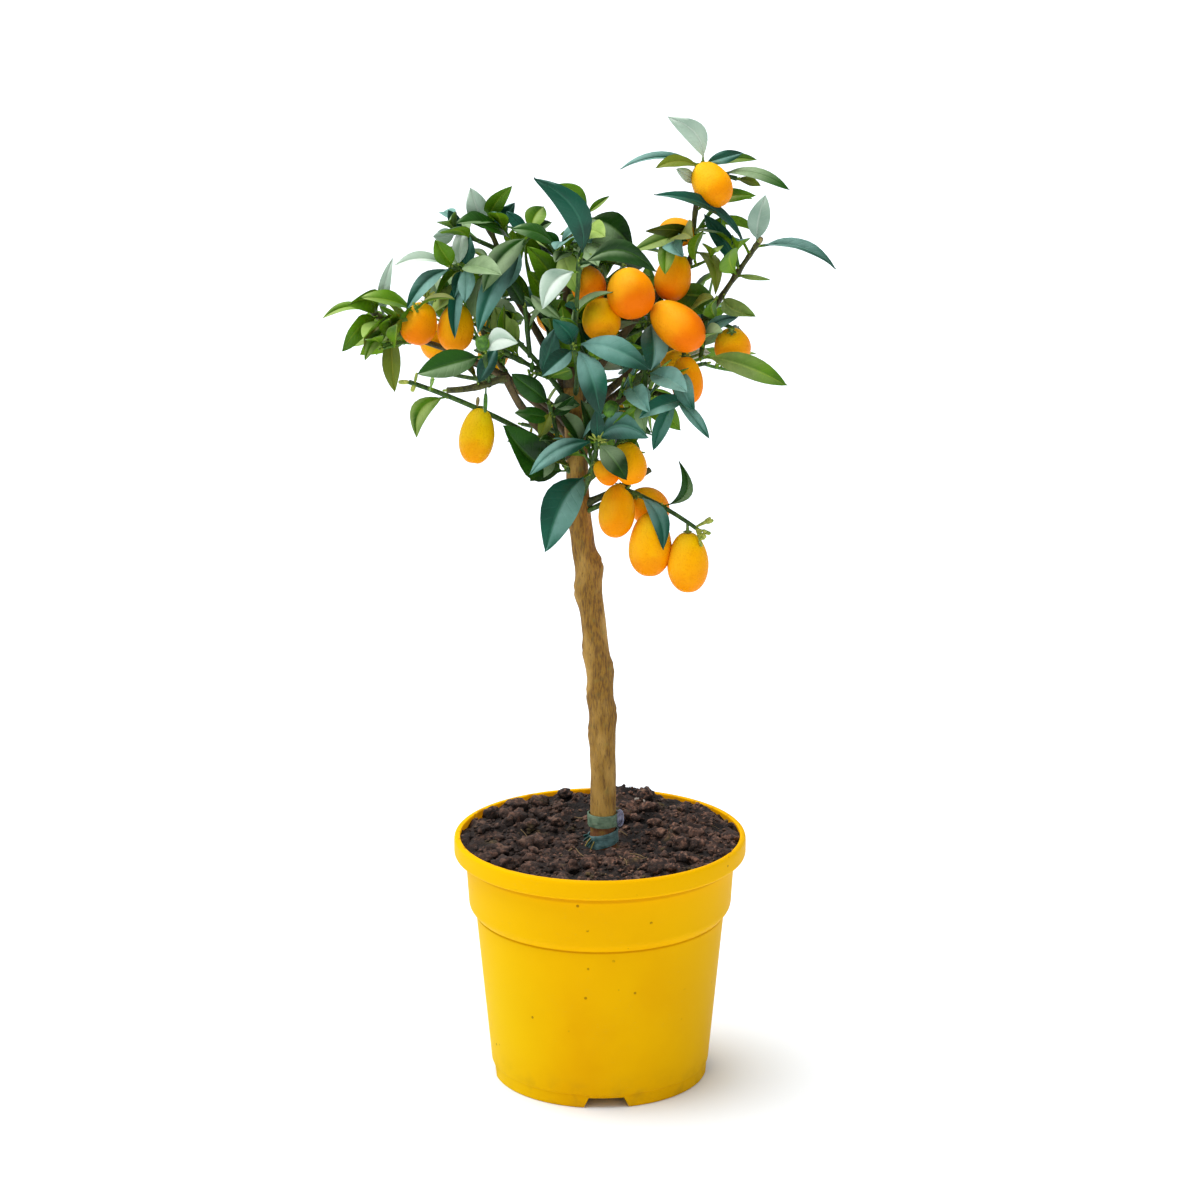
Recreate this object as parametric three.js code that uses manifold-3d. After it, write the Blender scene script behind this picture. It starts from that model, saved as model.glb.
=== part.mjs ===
import * as THREE from 'three';
import { mergeVertices } from 'three/addons/utils/BufferGeometryUtils.js';
import Module from 'manifold-3d';

const wasm = await Module();
wasm.setup();

// Driving dimensions, in millimetres. The pot stands on z = 0 and its axis is x = y = 0.
// The front of the plant looks towards -Y.
const TOUCH_GAP = 0.3;
const SLIVER = 0.05;
const POT_HEIGHT = 172;
const POT_WALL = 1.8;
const POT_SIDES = 32;
const RIM_RADIUS = 100;
const RIM_FOOT = 155;
const RIM_STEP = 2;
const LIP_WIDTH = 2.5;
const BAND_RADIUS = 91;
const BAND_FOOT_RADIUS = 89;
const BAND_FOOT = 124;
const BODY_TOP_RADIUS = 84.5;
const BODY_TOP = 117;
const FOOT_RADIUS = 73.5;
const FOOT_STEP = 0.7;
const FOOT_RING_HEIGHT = 10;
const FOOT_RING_WALL = 5;
const NOTCH_COUNT = 4;
const NOTCH_HEIGHT = 5.5;
const NOTCH_TOP_WIDTH = 24;
const NOTCH_FOOT_WIDTH = 35;
const NOTCH_TURN = 4.6;
const FLOOR_HEIGHT = 8;
const CENTRE_DISC_RADIUS = 24;
const DRAIN_CIRCLE_RADIUS = 46;
const DRAIN_HOLE_RADIUS = 6;
const DRAIN_HOLE_COUNT = 8;

const SOIL_LEVEL = 163;
const SOIL_EDGE_DROP = 3;
const SOIL_ROUGHNESS = 2.2;
const SOIL_FLAT_RADIUS = 13;
const SOIL_RINGS = 6;
const SOIL_HEAP = { x: 20, y: 52, radius: 26, height: 9 };

const TRUNK_TOP = 489;
const TRUNK_FOOT_RADIUS = 9.6;
const TRUNK_LOW_RADIUS = 8.5;
const TRUNK_TOP_RADIUS = 6;
const TRUNK_TAPER = 1.6;
const FLARE_HEIGHT = 3;
const KNOB_HEIGHT = 7;
const BOUGH_SIDES = 6;
const BOUGH_STEPS = 5;

const TAPE_WALL = 1;
const TAPE_RADIUS = 9.6;
const UPPER_TAPE = { low: 178.5, high: 187, tilt: 0 };
const LOWER_TAPE = { low: 166.5, high: 174, tilt: 12 };
const KNOT_RADIUS = 4.2;
const KNOT_THICKNESS = 1.1;

const STALK_HALF_WIDTH = 0.45;
const LEAF_WIDTH_SHARE = 0.36;
const LEAF_FULLNESS = 0.85;
const LEAF_THICKNESS_SHARE = 1 / 50;
const LEAF_LEAST_THICKNESS = 0.8;
const LEAF_ARCH_SHARE = 0.08;
const LEAF_STEPS = 2;
const LONG_LEAF_STEPS = 3;
const LONG_LEAF = 43;
const TRIES_PER_LEAF = 6;
const FREE_FROM = 0.25;
const RULE_LEAF = { least: 36, spread: 17 };
const MASS_MIDDLE = 0.6;
const FRUIT_WIDTH_SHARE = 0.66;
const TWIG_RADIUS = 1.7;
const SHOOT_RADIUS = 2;
const TWIG_TIP_SHARE = 0.8;
const LEAF_TURN = 137.5;

// The trunk's axis: how far it leans to the side at each height.
const TRUNK_LEAN = [
  [SOIL_LEVEL + TOUCH_GAP, 2],
  [235, 2],
  [290, -1],
  [352, -8],
  [400, -14],
  [450, -16],
  [TRUNK_TOP, -18],
];

// Knobs where old side shoots were cut: height, bearing round the trunk, how far each stands out.
const TRUNK_KNOBS = [
  [259, 0, 1.3],
  [246, 180, 1.2],
  [290, 10, 1.6],
  [304, 180, 1.5],
  [346, 180, 1.6],
  [363, 0, 2],
  [405, 200, 1.6],
];

// A direction is given as it looks from the front: its bearing in degrees (0 points right,
// 90 points up) and how far it leans towards the viewer. A limb is
// [height on the trunk, bearing, toward, length, sweep, radius at the foot, radius at the tip].
// A limb sets off at its bearing plus its sweep and curves to end on its bearing minus it.
const BOUGHS = {
  left_bough: [438, 128, 20, 80, 20, 3.4, 2.5],
  far_left_bough: [458, 149, -1, 103, -10, 3.3, 2],
  upper_left_bough: [468, 119, -11, 96, -8, 3.3, 2],
  right_bough: [462, 37, -5, 107, 6, 3.2, 1.9],
  top_right_bough: [472, 51, -5, 123, 8, 3.2, 1.9],
  right_front_bough: [448, 45, 27, 67, 10, 2.5, 1.7],
  cut_stub: [403, 31, 14, 57, -6, 2.3, 1.9],
  back_left_bough: [446, 146, -42, 66, -10, 3.2, 2.1],
  back_right_bough: [452, 34, -44, 70, 8, 3.2, 2.1],
  back_top_bough: [474, 98, -42, 58, -6, 3, 2],
  leader: [TRUNK_TOP + TOUCH_GAP, 94, -10, 79, 0, 4.2, 2.2],
};

// Each mass of foliage grows from one stem, at a bough's tip or at a height on the trunk:
// stem and twig [place along the stem, bearing, toward, length, sweep],
// leaf [twig, place along it, bearing, toward, length, facing, width], where twig 0 is the stem
// and facing turns the upper side from the sky (0) through the front (90) to the ground (180),
// fruit [twig, place along it, bearing, toward, distance to its middle, length].
// The rule then adds "more" leaves, shared among the twigs, that stay within "reach".
const MASSES = [
  {
    name: 'far_left_spray',
    bough: 'far_left_bough',
    seed: 11,
    stem: [150, 11, 54, 12],
    twigs: [[0.25, 84, 16, 33, 0]],
    leaves: [
      [0, 0.95, 185, 11, 34, 35],
      [0, 0.98, 136, 48, 30, 80],
      [0, 0.8, 81, 9, 46, 100],
      [0, 0.88, 219, 38, 37, 120],
      [0, 0.84, 240, 29, 24, 60],
      [0, 0.68, 224, 50, 36, 70],
      [0, 0.7, 273, 8, 44, 90],
      [0, 0.38, 247, 42, 46, 60],
      [0, 0.12, 232, 70, 22, 60],
      [1, 0.97, 231, 44, 21, 60],
    ],
    fruit: [
      [1, 0.95, 253, 17, 17, 29],
      [1, 0.5, 290, -47, 32, 29],
    ],
    more: 5,
    reach: 62,
  },
  {
    name: 'upper_left_spray',
    bough: 'upper_left_bough',
    seed: 12,
    stem: [105, 14, 42, -10],
    twigs: [
      [0.25, 171, 29, 40, 10],
      [0.3, 53, 34, 38, 0],
      [0.6, 153, 14, 32, 0],
    ],
    leaves: [
      [0, 1, 113, 11, 30, 85, 13],
      [0, 0.98, 63, 20, 35, 80],
      [0, 0.95, 149, 36, 23, 60],
      [0, 0.9, 54, 18, 28, 70],
      [3, 0.97, 175, 15, 22, 90, 12],
      [3, 0.85, 119, 3, 18, 70],
      [1, 0.97, 175, 15, 40, 30],
      [1, 0.94, 77, 9, 27, 95, 16],
      [1, 0.85, 82, -19, 27, 70],
      [1, 0.6, 88, -6, 40, 60, 9],
      [1, 0.9, 217, 27, 44, 30],
      [1, 0.78, 262, 40, 26, 80, 11],
      [2, 0.97, 225, 33, 52, 55, 19],
      [2, 0.75, 244, 32, 64, 70, 15],
      [2, 0.66, 243, 33, 37, 60],
      [2, 0.85, 30, -30, 22, 50],
      [2, 1, 62, -42, 22, 60, 14],
      [2, 0.95, 132, -1, 22, 60],
    ],
    fruit: [[1, 0.8, 265, 9, 36, 32]],
    more: 5,
    reach: 62,
  },
  {
    name: 'top_spray',
    bough: 'leader',
    seed: 13,
    stem: [65, 15, 38, 10],
    twigs: [
      [0.35, 344, 35, 43, -10],
      [0.1, 123, 70, 29, 0],
    ],
    leaves: [
      [2, 0.3, 109, 16, 62, 75, 23],
      [0, 1, 134, 9, 28, 60],
      [0, 0.97, 41, 12, 20, 60],
      [2, 0.7, 246, 49, 48, 60],
      [2, 0.95, 117, 35, 20, 50],
      [0, 0.9, 331, 26, 39, 130, 17],
      [1, 0.3, 345, 36, 62, 120, 13],
      [1, 0.15, 2, 17, 32, 40],
    ],
    fruit: [
      [1, 0.15, 289, 55, 33, 23],
      [1, 1, 289, 47, 24, 33],
      [1, 0.5, 276, 37, 46, 28],
    ],
    more: 6,
    reach: 58,
  },
  {
    name: 'right_spray',
    bough: 'right_bough',
    seed: 14,
    stem: [58, 12, 68, 0],
    twigs: [
      [0.05, 259, 47, 32, 0],
      [0.06, 349, 49, 24, 0],
    ],
    leaves: [
      [0, 0.85, 145, 4, 79, 40, 10],
      [0, 0.65, 122, 1, 44, 60],
      [0, 0.98, 82, 6, 37, 90, 18],
      [0, 0.95, 346, 13, 55, 30],
      [0, 0.6, 357, 30, 24, 30],
      [0, 0.35, 334, 48, 28, 60],
      [2, 0.3, 33, 54, 32, 60],
      [1, 0.97, 343, 15, 60, 50, 15],
      [0, 0.12, 97, 20, 34, 110],
    ],
    fruit: [
      [2, 1, 281, 15, 17, 29],
      [1, 0.9, 271, -43, 32, 27],
    ],
    more: 4,
    reach: 60,
  },
  {
    name: 'top_right_spray',
    bough: 'top_right_bough',
    seed: 15,
    stem: [84, 9, 67, 4],
    twigs: [
      [0.95, 344, -5, 24, 0],
      [0.2, 156, 41, 24, 0],
    ],
    leaves: [
      [0, 1, 126, 5, 42, 60],
      [0, 0.98, 180, 12, 55, 30],
      [0, 0.96, 171, 41, 45, 130],
      [0, 0.8, 142, 36, 30, 60],
      [0, 1, 18, -1, 27, 70],
      [0, 0.97, 4, -13, 37, 60],
      [1, 0.5, 349, 11, 47, 30],
      [1, 0.97, 344, 1, 17, 50],
      [1, 0.9, 323, 41, 17, 60],
      [0, 0.25, 166, 36, 40, 110],
      [0, 0.3, 191, 33, 48, 30],
      [2, 0.97, 264, 39, 29, 70],
      [0, 0.1, 303, 48, 41, 120],
    ],
    fruit: [
      [0, 0.95, 300, 23, 19, 31],
      [2, 0.4, 256, 14, 26, 32],
      [0, 0.3, 150, -30, 20, 25],
    ],
    more: 4,
    reach: 60,
  },
  {
    name: 'right_low_spray',
    bough: 'right_front_bough',
    seed: 16,
    stem: [352, 18, 33, -10],
    twigs: [
      [0.1, 86, -15, 57, 0],
      [0.75, 78, -30, 31, 0],
    ],
    leaves: [
      [1, 0.8, 271, 46, 37, 80, 16],
      [1, 0.75, 243, -4, 31, 120],
      [1, 0.2, 348, 52, 43, 60],
      [0, 0.3, 215, 17, 34, 130, 19],
      [0, 0.97, 195, 34, 39, 60],
      [0, 0.7, 316, 37, 40, 40],
      [0, 0.8, 244, 12, 38, 80],
      [2, 0.5, 290, 0, 27, 80],
    ],
    fruit: [
      [1, 1, 324, 32, 26, 44],
      [2, 1, 276, 15, 18, 32],
    ],
    more: 4,
    reach: 55,
  },
  {
    name: 'centre_spray',
    trunk: 405,
    seed: 17,
    stem: [76, 33, 63, -8],
    twigs: [[0.4, 54, 20, 42, 0]],
    leaves: [
      [0, 0.98, 201, 25, 52, 50],
      [0, 0.95, 10, 35, 41, 80, 18],
      [1, 0.7, 320, 54, 27, 60],
      [0, 1, 92, 19, 30, 70],
      [1, 0.97, 87, 13, 27, 70],
    ],
    fruit: [
      [1, 0.97, 285, 7, 17, 27],
      [0, 0.6, 354, 30, 12, 21],
    ],
    more: 4,
    reach: 46,
  },
  {
    name: 'low_spray',
    trunk: 398,
    seed: 18,
    stem: [35, 27, 44, -10],
    twigs: [[0.95, 333, 12, 55, 8]],
    leaves: [
      [0, 0.3, 197, 55, 62, 70, 23],
      [1, 0.15, 298, 29, 42, 60],
      [1, 0.5, 70, -1, 33, 60],
    ],
    fruit: [
      [0, 0.8, 260, 48, 20, 38],
      [0, 0.95, 312, -40, 29, 33],
      [1, 0.35, 268, 6, 29, 43],
      [1, 0.85, 271, 3, 27, 41],
    ],
    more: 2,
    reach: 50,
  },
  {
    name: 'left_spray',
    bough: 'left_bough',
    seed: 19,
    stem: [188, 25, 42, 14],
    twigs: [[0.3, 97, 20, 24, 0]],
    leaves: [
      [1, 0.9, 190, 26, 48, 60, 17],
      [1, 0.7, 201, 38, 37, 60],
      [0, 0.95, 192, 24, 24, 60],
      [1, 1, 71, 14, 20, 70],
      [1, 0.95, 9, 23, 26, 60],
      [0, 0.5, 65, -8, 30, 60],
    ],
    fruit: [],
    more: 4,
    reach: 50,
  },
  {
    name: 'low_left_shoot',
    trunk: 432,
    seed: 20,
    stem: [150, 15, 131, -8],
    twigs: [],
    leaves: [
      [0, 0.78, 225, 30, 35, 60],
      [0, 0.88, 75, 60, 24, 60],
    ],
    fruit: [[0, 0.6, 259, 13, 22, 39]],
    more: 2,
    reach: 80,
  },
  {
    name: 'front_shoot',
    trunk: 476,
    seed: 21,
    stem: [90, 44, 64, -12],
    twigs: [[0.98, 86, 6, 60, 0]],
    leaves: [
      [0, 0.97, 121, 35, 31, 70],
      [0, 0.95, 214, 41, 33, 70],
      [0, 0.98, 293, 24, 48, 80, 18],
      [0, 1, 347, 23, 55, 60, 18],
      [1, 0.4, 136, 57, 18, 60],
      [1, 0.97, 79, 9, 17, 60],
      [1, 0.9, 25, 42, 18, 60],
    ],
    fruit: [],
    more: 1,
    reach: 50,
  },
  {
    name: 'inner_left_spray',
    trunk: 420,
    seed: 22,
    stem: [123, 21, 45, 0],
    twigs: [[0.4, 102, 10, 43, 0]],
    leaves: [
      [0, 0.3, 140, 22, 60, 60, 24],
      [0, 1, 191, -7, 24, 70],
      [0, 0.6, 196, 27, 40, 60, 18],
      [1, 1, 132, 22, 24, 120],
      [1, 0.8, 50, 30, 25, 120],
      [1, 0.6, 137, 38, 31, 120],
      [1, 1, 97, -30, 20, 100],
    ],
    fruit: [],
    more: 4,
    reach: 45,
  },
  {
    name: 'mid_left_spray',
    trunk: 468,
    seed: 23,
    stem: [128, 4, 62, -6],
    twigs: [
      [0.5, 150, 10, 34, 0],
      [0.8, 95, 10, 34, 0],
      [0.6, 75, -20, 34, 0],
      [0.95, 160, -20, 34, 0],
    ],
    leaves: [
      [1, 0.95, 200, 15, 32, 60],
      [2, 0.95, 120, 8, 25, 70],
    ],
    fruit: [],
    more: 12,
    reach: 54,
  },
  {
    name: 'mid_right_spray',
    trunk: 480,
    seed: 24,
    stem: [60, -12, 66, 6],
    twigs: [
      [0.5, 20, -20, 36, 0],
      [0.8, 100, -5, 34, 0],
      [0.9, 35, 10, 30, 0],
    ],
    leaves: [],
    fruit: [],
    more: 10,
    reach: 52,
  },
  {
    name: 'back_left_spray',
    bough: 'back_left_bough',
    seed: 31,
    stem: [122, -32, 62, 8],
    twigs: [
      [0.1, 175, -12, 44, 6],
      [0.25, 215, -50, 34, 0],
      [0.4, 60, -55, 42, -6],
      [0.6, 152, 5, 38, 0],
      [0.85, 95, -50, 36, 0],
    ],
    leaves: [],
    fruit: [
      [1, 0.8, 265, -10, 28, 34],
      [3, 0.8, 268, -35, 28, 32],
    ],
    more: 20,
    reach: 70,
  },
  {
    name: 'back_right_spray',
    bough: 'back_right_bough',
    seed: 32,
    stem: [50, -34, 62, -8],
    twigs: [
      [0.1, 5, -12, 44, -6],
      [0.25, 320, -50, 32, 0],
      [0.4, 120, -55, 42, 6],
      [0.6, 28, -40, 38, 0],
      [0.85, 85, -50, 36, 0],
    ],
    leaves: [],
    fruit: [
      [1, 0.85, 275, -10, 27, 33],
      [3, 0.8, 270, -30, 28, 31],
    ],
    more: 20,
    reach: 70,
  },
  {
    name: 'back_top_spray',
    bough: 'back_top_bough',
    seed: 33,
    stem: [92, -28, 54, 0],
    twigs: [
      [0.1, 160, -40, 42, 0],
      [0.25, 20, -40, 42, 0],
      [0.55, 110, -70, 38, 0],
      [0.8, 60, -10, 28, 0],
    ],
    leaves: [],
    fruit: [
      [1, 0.8, 265, -20, 26, 33],
      [2, 0.8, 275, -25, 26, 32],
    ],
    more: 18,
    reach: 62,
  },
  {
    name: 'back_low_spray',
    trunk: 424,
    seed: 34,
    stem: [95, -58, 84, 0],
    twigs: [
      [0.45, 175, -30, 42, 0],
      [0.6, 15, -35, 40, 0],
      [0.9, 100, -30, 30, 0],
    ],
    leaves: [],
    fruit: [
      [1, 0.85, 265, -10, 26, 34],
      [2, 0.85, 275, -20, 25, 32],
    ],
    more: 14,
    reach: 60,
  },
];

const UP = new THREE.Vector3(0, 0, 1);
const FRONT = new THREE.Vector3(0, -1, 0);

// A repeatable source of even draws between 0 and 1.
function drawer(seed) {
  let state = seed;
  return () => {
    state = (state + 0x6d2b79f5) | 0;
    let mixed = Math.imul(state ^ (state >>> 15), 1 | state);
    mixed = (mixed + Math.imul(mixed ^ (mixed >>> 7), 61 | mixed)) ^ mixed;
    return ((mixed ^ (mixed >>> 14)) >>> 0) / 4294967296;
  };
}

function aim(bearing, toward) {
  const turn = THREE.MathUtils.degToRad(bearing);
  const lean = THREE.MathUtils.degToRad(toward);
  return new THREE.Vector3(
    Math.cos(turn) * Math.cos(lean),
    -Math.sin(lean),
    Math.sin(turn) * Math.cos(lean),
  );
}

function limbPath(start, [bearing, toward, length, sweep]) {
  const middle = aim(bearing + sweep, toward).multiplyScalar(length / 2).add(start);
  const end = aim(bearing, toward).multiplyScalar(length).add(start);
  return new THREE.QuadraticBezierCurve3(start.clone(), middle, end);
}

// The two directions square to a line, the first as near to "wanted" as it can be.
function squareTo(line, wanted) {
  const first = wanted.clone().addScaledVector(line, -wanted.dot(line)).normalize();
  const second = line.clone().cross(first);
  return [first, second];
}

function closed(geometry) {
  geometry.deleteAttribute('normal');
  geometry.deleteAttribute('uv');
  return mergeVertices(geometry, 1e-4);
}

function solidOf(geometry) {
  const merged = closed(geometry);
  return new wasm.Manifold(new wasm.Mesh({
    numProp: 3,
    vertProperties: new Float32Array(merged.attributes.position.array),
    triVerts: new Uint32Array(merged.index.array),
  }));
}

function joined(solids) {
  return solids.reduce((whole, next) => whole.add(next));
}

// The largest single body of a solid: sealed hollows are filled and loose scraps dropped.
function soundBody(solid) {
  const bodies = solid.simplify(SLIVER).decompose();
  return bodies.reduce((best, next) => (next.volume() > best.volume() ? next : best));
}

function geometryOf(solid) {
  const mesh = solid.getMesh();
  const geometry = new THREE.BufferGeometry();
  geometry.setAttribute('position', new THREE.BufferAttribute(mesh.vertProperties, 3));
  geometry.setIndex(new THREE.BufferAttribute(mesh.triVerts, 1));
  geometry.computeVertexNormals();
  return geometry;
}

// A round or three-sided rod that follows a path: a cylinder bent along it.
function rod(path, radiusAt, sides, steps) {
  const geometry = new THREE.CylinderGeometry(1, 1, 1, sides, steps);
  const points = geometry.attributes.position;
  for (let i = 0; i < points.count; i += 1) {
    const place = points.getY(i) + 0.5;
    const centre = path.getPoint(place);
    const [across, beside] = squareTo(path.getTangent(place), FRONT);
    const radius = radiusAt(place, Math.atan2(points.getZ(i), points.getX(i)));
    centre.addScaledVector(beside, points.getX(i) * radius);
    centre.addScaledVector(across, points.getZ(i) * radius);
    points.setXYZ(i, centre.x, centre.y, centre.z);
  }
  return geometry;
}

function taper(foot, tip) {
  return (place) => foot + (tip - foot) * place;
}

// A leaf: a keeled blade, flat on top, that narrows to a stalk at its foot and to a point.
function leafSolid(base, direction, normal, length, width, steps) {
  const blade = new THREE.ConeGeometry(1, 1, 3, steps);
  const points = blade.attributes.position;
  const [up] = squareTo(direction, normal);
  const side = up.clone().cross(direction);
  const edge = Math.sin(Math.PI / 3);
  for (let i = 0; i < points.count; i += 1) {
    const place = points.getY(i) + 0.5;
    const open = Math.max(1 - place, 1e-6);
    const across = points.getX(i) / open / edge;
    const keel = (points.getZ(i) / open + 0.5) / 1.5;
    const halfWidth = STALK_HALF_WIDTH + (width / 2) * Math.sin(Math.PI * place ** LEAF_FULLNESS);
    const point = base.clone().addScaledVector(direction, length * place);
    point.addScaledVector(up, LEAF_LEAST_THICKNESS / 3);
    point.addScaledVector(up, length * LEAF_ARCH_SHARE * 4 * place * (1 - place));
    if (place < 1) {
      point.addScaledVector(side, across * halfWidth);
      point.addScaledVector(up, -keel * Math.max(LEAF_LEAST_THICKNESS, length * LEAF_THICKNESS_SHARE));
    }
    points.setXYZ(i, point.x, point.y, point.z);
  }
  return solidOf(blade);
}

function fruitSolids(root, direction, reach, length) {
  const width = length * FRUIT_WIDTH_SHARE;
  const body = new THREE.SphereGeometry(0.5, 7, 4);
  body.scale(width, length, width);
  const turn = new THREE.Quaternion().setFromUnitVectors(new THREE.Vector3(0, 1, 0), direction);
  const centre = root.clone().addScaledVector(direction, reach);
  body.applyQuaternion(turn);
  body.translate(centre.x, centre.y, centre.z);
  const stalk = new THREE.LineCurve3(root, centre);
  return [solidOf(body), solidOf(rod(stalk, taper(1, 1), 3, 1))];
}

function trunkLine(extra) {
  const points = TRUNK_LEAN.map(([height, lean]) => new THREE.Vector3(lean, 0, height));
  points[points.length - 1].z += extra;
  return new THREE.CatmullRomCurve3(points, false, 'catmullrom', 0.5);
}

const trunkCurve = trunkLine(0);

function trunkPoint(height) {
  let low = 0;
  let high = 1;
  for (let i = 0; i < 30; i += 1) {
    const middle = (low + high) / 2;
    if (trunkCurve.getPoint(middle).z < height) low = middle;
    else high = middle;
  }
  return trunkCurve.getPoint(low);
}

// The trunk tapers as it climbs, flares at the foot and swells at each knob.
function trunkSolid(grown) {
  const line = trunkLine(grown);
  const radiusAt = (place, around) => {
    const climb = line.getPoint(place).z - SOIL_LEVEL;
    const share = (climb / (TRUNK_TOP - SOIL_LEVEL)) ** TRUNK_TAPER;
    let radius = TRUNK_LOW_RADIUS + (TRUNK_TOP_RADIUS - TRUNK_LOW_RADIUS) * share;
    radius += (TRUNK_FOOT_RADIUS - TRUNK_LOW_RADIUS) * Math.exp(-climb / FLARE_HEIGHT);
    for (const [height, bearing, stand] of TRUNK_KNOBS) {
      const away = (climb + SOIL_LEVEL - height) / KNOB_HEIGHT;
      const facing = Math.max(0, Math.cos(around - THREE.MathUtils.degToRad(bearing)));
      radius += stand * Math.exp(-away * away) * facing ** 2;
    }
    return radius + grown;
  };
  return solidOf(rod(line, radiusAt, 10, 24));
}

// The pot's outer side from the rim down: rim band, second band, shoulder and tapering body.
// "inset" gives the same line further in, for the inside of the wall or for the soil.
function potSide(inset) {
  return [
    [RIM_RADIUS - inset, RIM_FOOT + inset],
    [BAND_RADIUS - inset, RIM_FOOT - RIM_STEP + inset],
    [BAND_FOOT_RADIUS - inset, BAND_FOOT],
    [BODY_TOP_RADIUS - inset, BODY_TOP],
  ];
}

function turned(profile, sides) {
  const points = profile.map(([radius, height]) => new THREE.Vector2(radius, height));
  const geometry = new THREE.LatheGeometry(points, sides);
  geometry.rotateX(Math.PI / 2);
  return geometry;
}

// A notch is a wedge with sloping sides, cut through the foot ring.
function notchCutter(bearing) {
  const outline = new THREE.Shape([
    new THREE.Vector2(-NOTCH_FOOT_WIDTH / 2, -1),
    new THREE.Vector2(NOTCH_FOOT_WIDTH / 2, -1),
    new THREE.Vector2(NOTCH_TOP_WIDTH / 2, NOTCH_HEIGHT),
    new THREE.Vector2(-NOTCH_TOP_WIDTH / 2, NOTCH_HEIGHT),
  ]);
  const depth = 3 * FOOT_RING_WALL;
  const cutter = new THREE.ExtrudeGeometry(outline, { depth, bevelEnabled: false });
  cutter.rotateX(Math.PI / 2);
  cutter.translate(0, FOOT_RADIUS + FOOT_RING_WALL, 0);
  cutter.rotateZ(THREE.MathUtils.degToRad(bearing - 90));
  return cutter;
}

// The pot: a thin turned shell on a notched foot ring. Its floor is raised in a ring with the
// drain holes in it, and comes down to the ground again as a flat disc in the middle.
function potSolid() {
  const underFloor = FLOOR_HEIGHT - POT_WALL;
  const lipInside = RIM_RADIUS - LIP_WIDTH;
  let pot = solidOf(turned([
    [0, 0],
    [CENTRE_DISC_RADIUS, 0],
    [CENTRE_DISC_RADIUS + POT_WALL, underFloor],
    [FOOT_RADIUS - FOOT_RING_WALL - POT_WALL, underFloor],
    [FOOT_RADIUS - FOOT_RING_WALL, 0],
    [FOOT_RADIUS, 0],
    [FOOT_RADIUS + FOOT_STEP, FOOT_RING_HEIGHT],
    ...potSide(0).reverse(),
    [RIM_RADIUS, POT_HEIGHT],
    [lipInside, POT_HEIGHT],
    ...potSide(POT_WALL),
    [FOOT_RADIUS - POT_WALL, FLOOR_HEIGHT],
    [0, FLOOR_HEIGHT],
  ], POT_SIDES));
  for (let i = 0; i < NOTCH_COUNT; i += 1) {
    pot = pot.subtract(solidOf(notchCutter(NOTCH_TURN - 90 + (i * 360) / NOTCH_COUNT)));
  }
  for (let i = 0; i < DRAIN_HOLE_COUNT; i += 1) {
    const turn = (i * 2 * Math.PI) / DRAIN_HOLE_COUNT;
    const hole = new THREE.CylinderGeometry(DRAIN_HOLE_RADIUS, DRAIN_HOLE_RADIUS, 4 * POT_WALL, 8);
    hole.rotateX(Math.PI / 2);
    hole.translate(
      DRAIN_CIRCLE_RADIUS * Math.cos(turn),
      DRAIN_CIRCLE_RADIUS * Math.sin(turn),
      FLOOR_HEIGHT - POT_WALL / 2,
    );
    pot = pot.subtract(solidOf(hole));
  }
  return pot;
}

// The potting mix fills the pot: lumpy on top, with a flat spot for the trunk's foot and a
// small heap behind it.
function soilSolid() {
  const inset = POT_WALL + TOUCH_GAP;
  const low = FLOOR_HEIGHT + TOUCH_GAP;
  const topRadius = RIM_RADIUS - LIP_WIDTH - TOUCH_GAP;
  const profile = [
    [0, low],
    [FOOT_RADIUS - inset, low],
    ...potSide(inset).reverse(),
    [topRadius, SOIL_LEVEL - SOIL_EDGE_DROP],
  ];
  for (let i = 1; i < SOIL_RINGS; i += 1) {
    profile.push([topRadius * (1 - i / SOIL_RINGS), SOIL_LEVEL]);
  }
  profile.push([0, SOIL_LEVEL]);
  const geometry = closed(turned(profile, POT_SIDES));
  const points = geometry.attributes.position;
  const draw = drawer(5);
  for (let i = 0; i < points.count; i += 1) {
    const lump = (draw() - 0.6) * SOIL_ROUGHNESS;
    if (points.getZ(i) > SOIL_LEVEL - 0.5) {
      const x = points.getX(i);
      const y = points.getY(i);
      const fromTrunk = Math.hypot(x - TRUNK_LEAN[0][1], y) - SOIL_FLAT_RADIUS;
      const free = Math.min(1, Math.max(0, fromTrunk / SOIL_FLAT_RADIUS));
      const away = Math.hypot(x - SOIL_HEAP.x, y - SOIL_HEAP.y) / SOIL_HEAP.radius;
      const heap = SOIL_HEAP.height * Math.exp(-away * away);
      points.setZ(i, SOIL_LEVEL + free * (lump + heap));
    }
  }
  return solidOf(geometry);
}

// Grafting tape: a flat band wound round the trunk's foot, as high on one side as "tilt" says.
function tapeBand({ low, high, tilt }) {
  const profile = [
    [TAPE_RADIUS, low],
    [TAPE_RADIUS + TAPE_WALL, low],
    [TAPE_RADIUS + TAPE_WALL, high],
    [TAPE_RADIUS, high],
    [TAPE_RADIUS, low],
  ];
  const band = turned(profile, 16);
  const points = band.attributes.position;
  const slope = Math.tan(THREE.MathUtils.degToRad(tilt));
  for (let i = 0; i < points.count; i += 1) {
    points.setZ(i, points.getZ(i) + points.getX(i) * slope);
    points.setX(i, points.getX(i) + TRUNK_LEAN[0][1]);
  }
  return solidOf(band);
}

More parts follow.
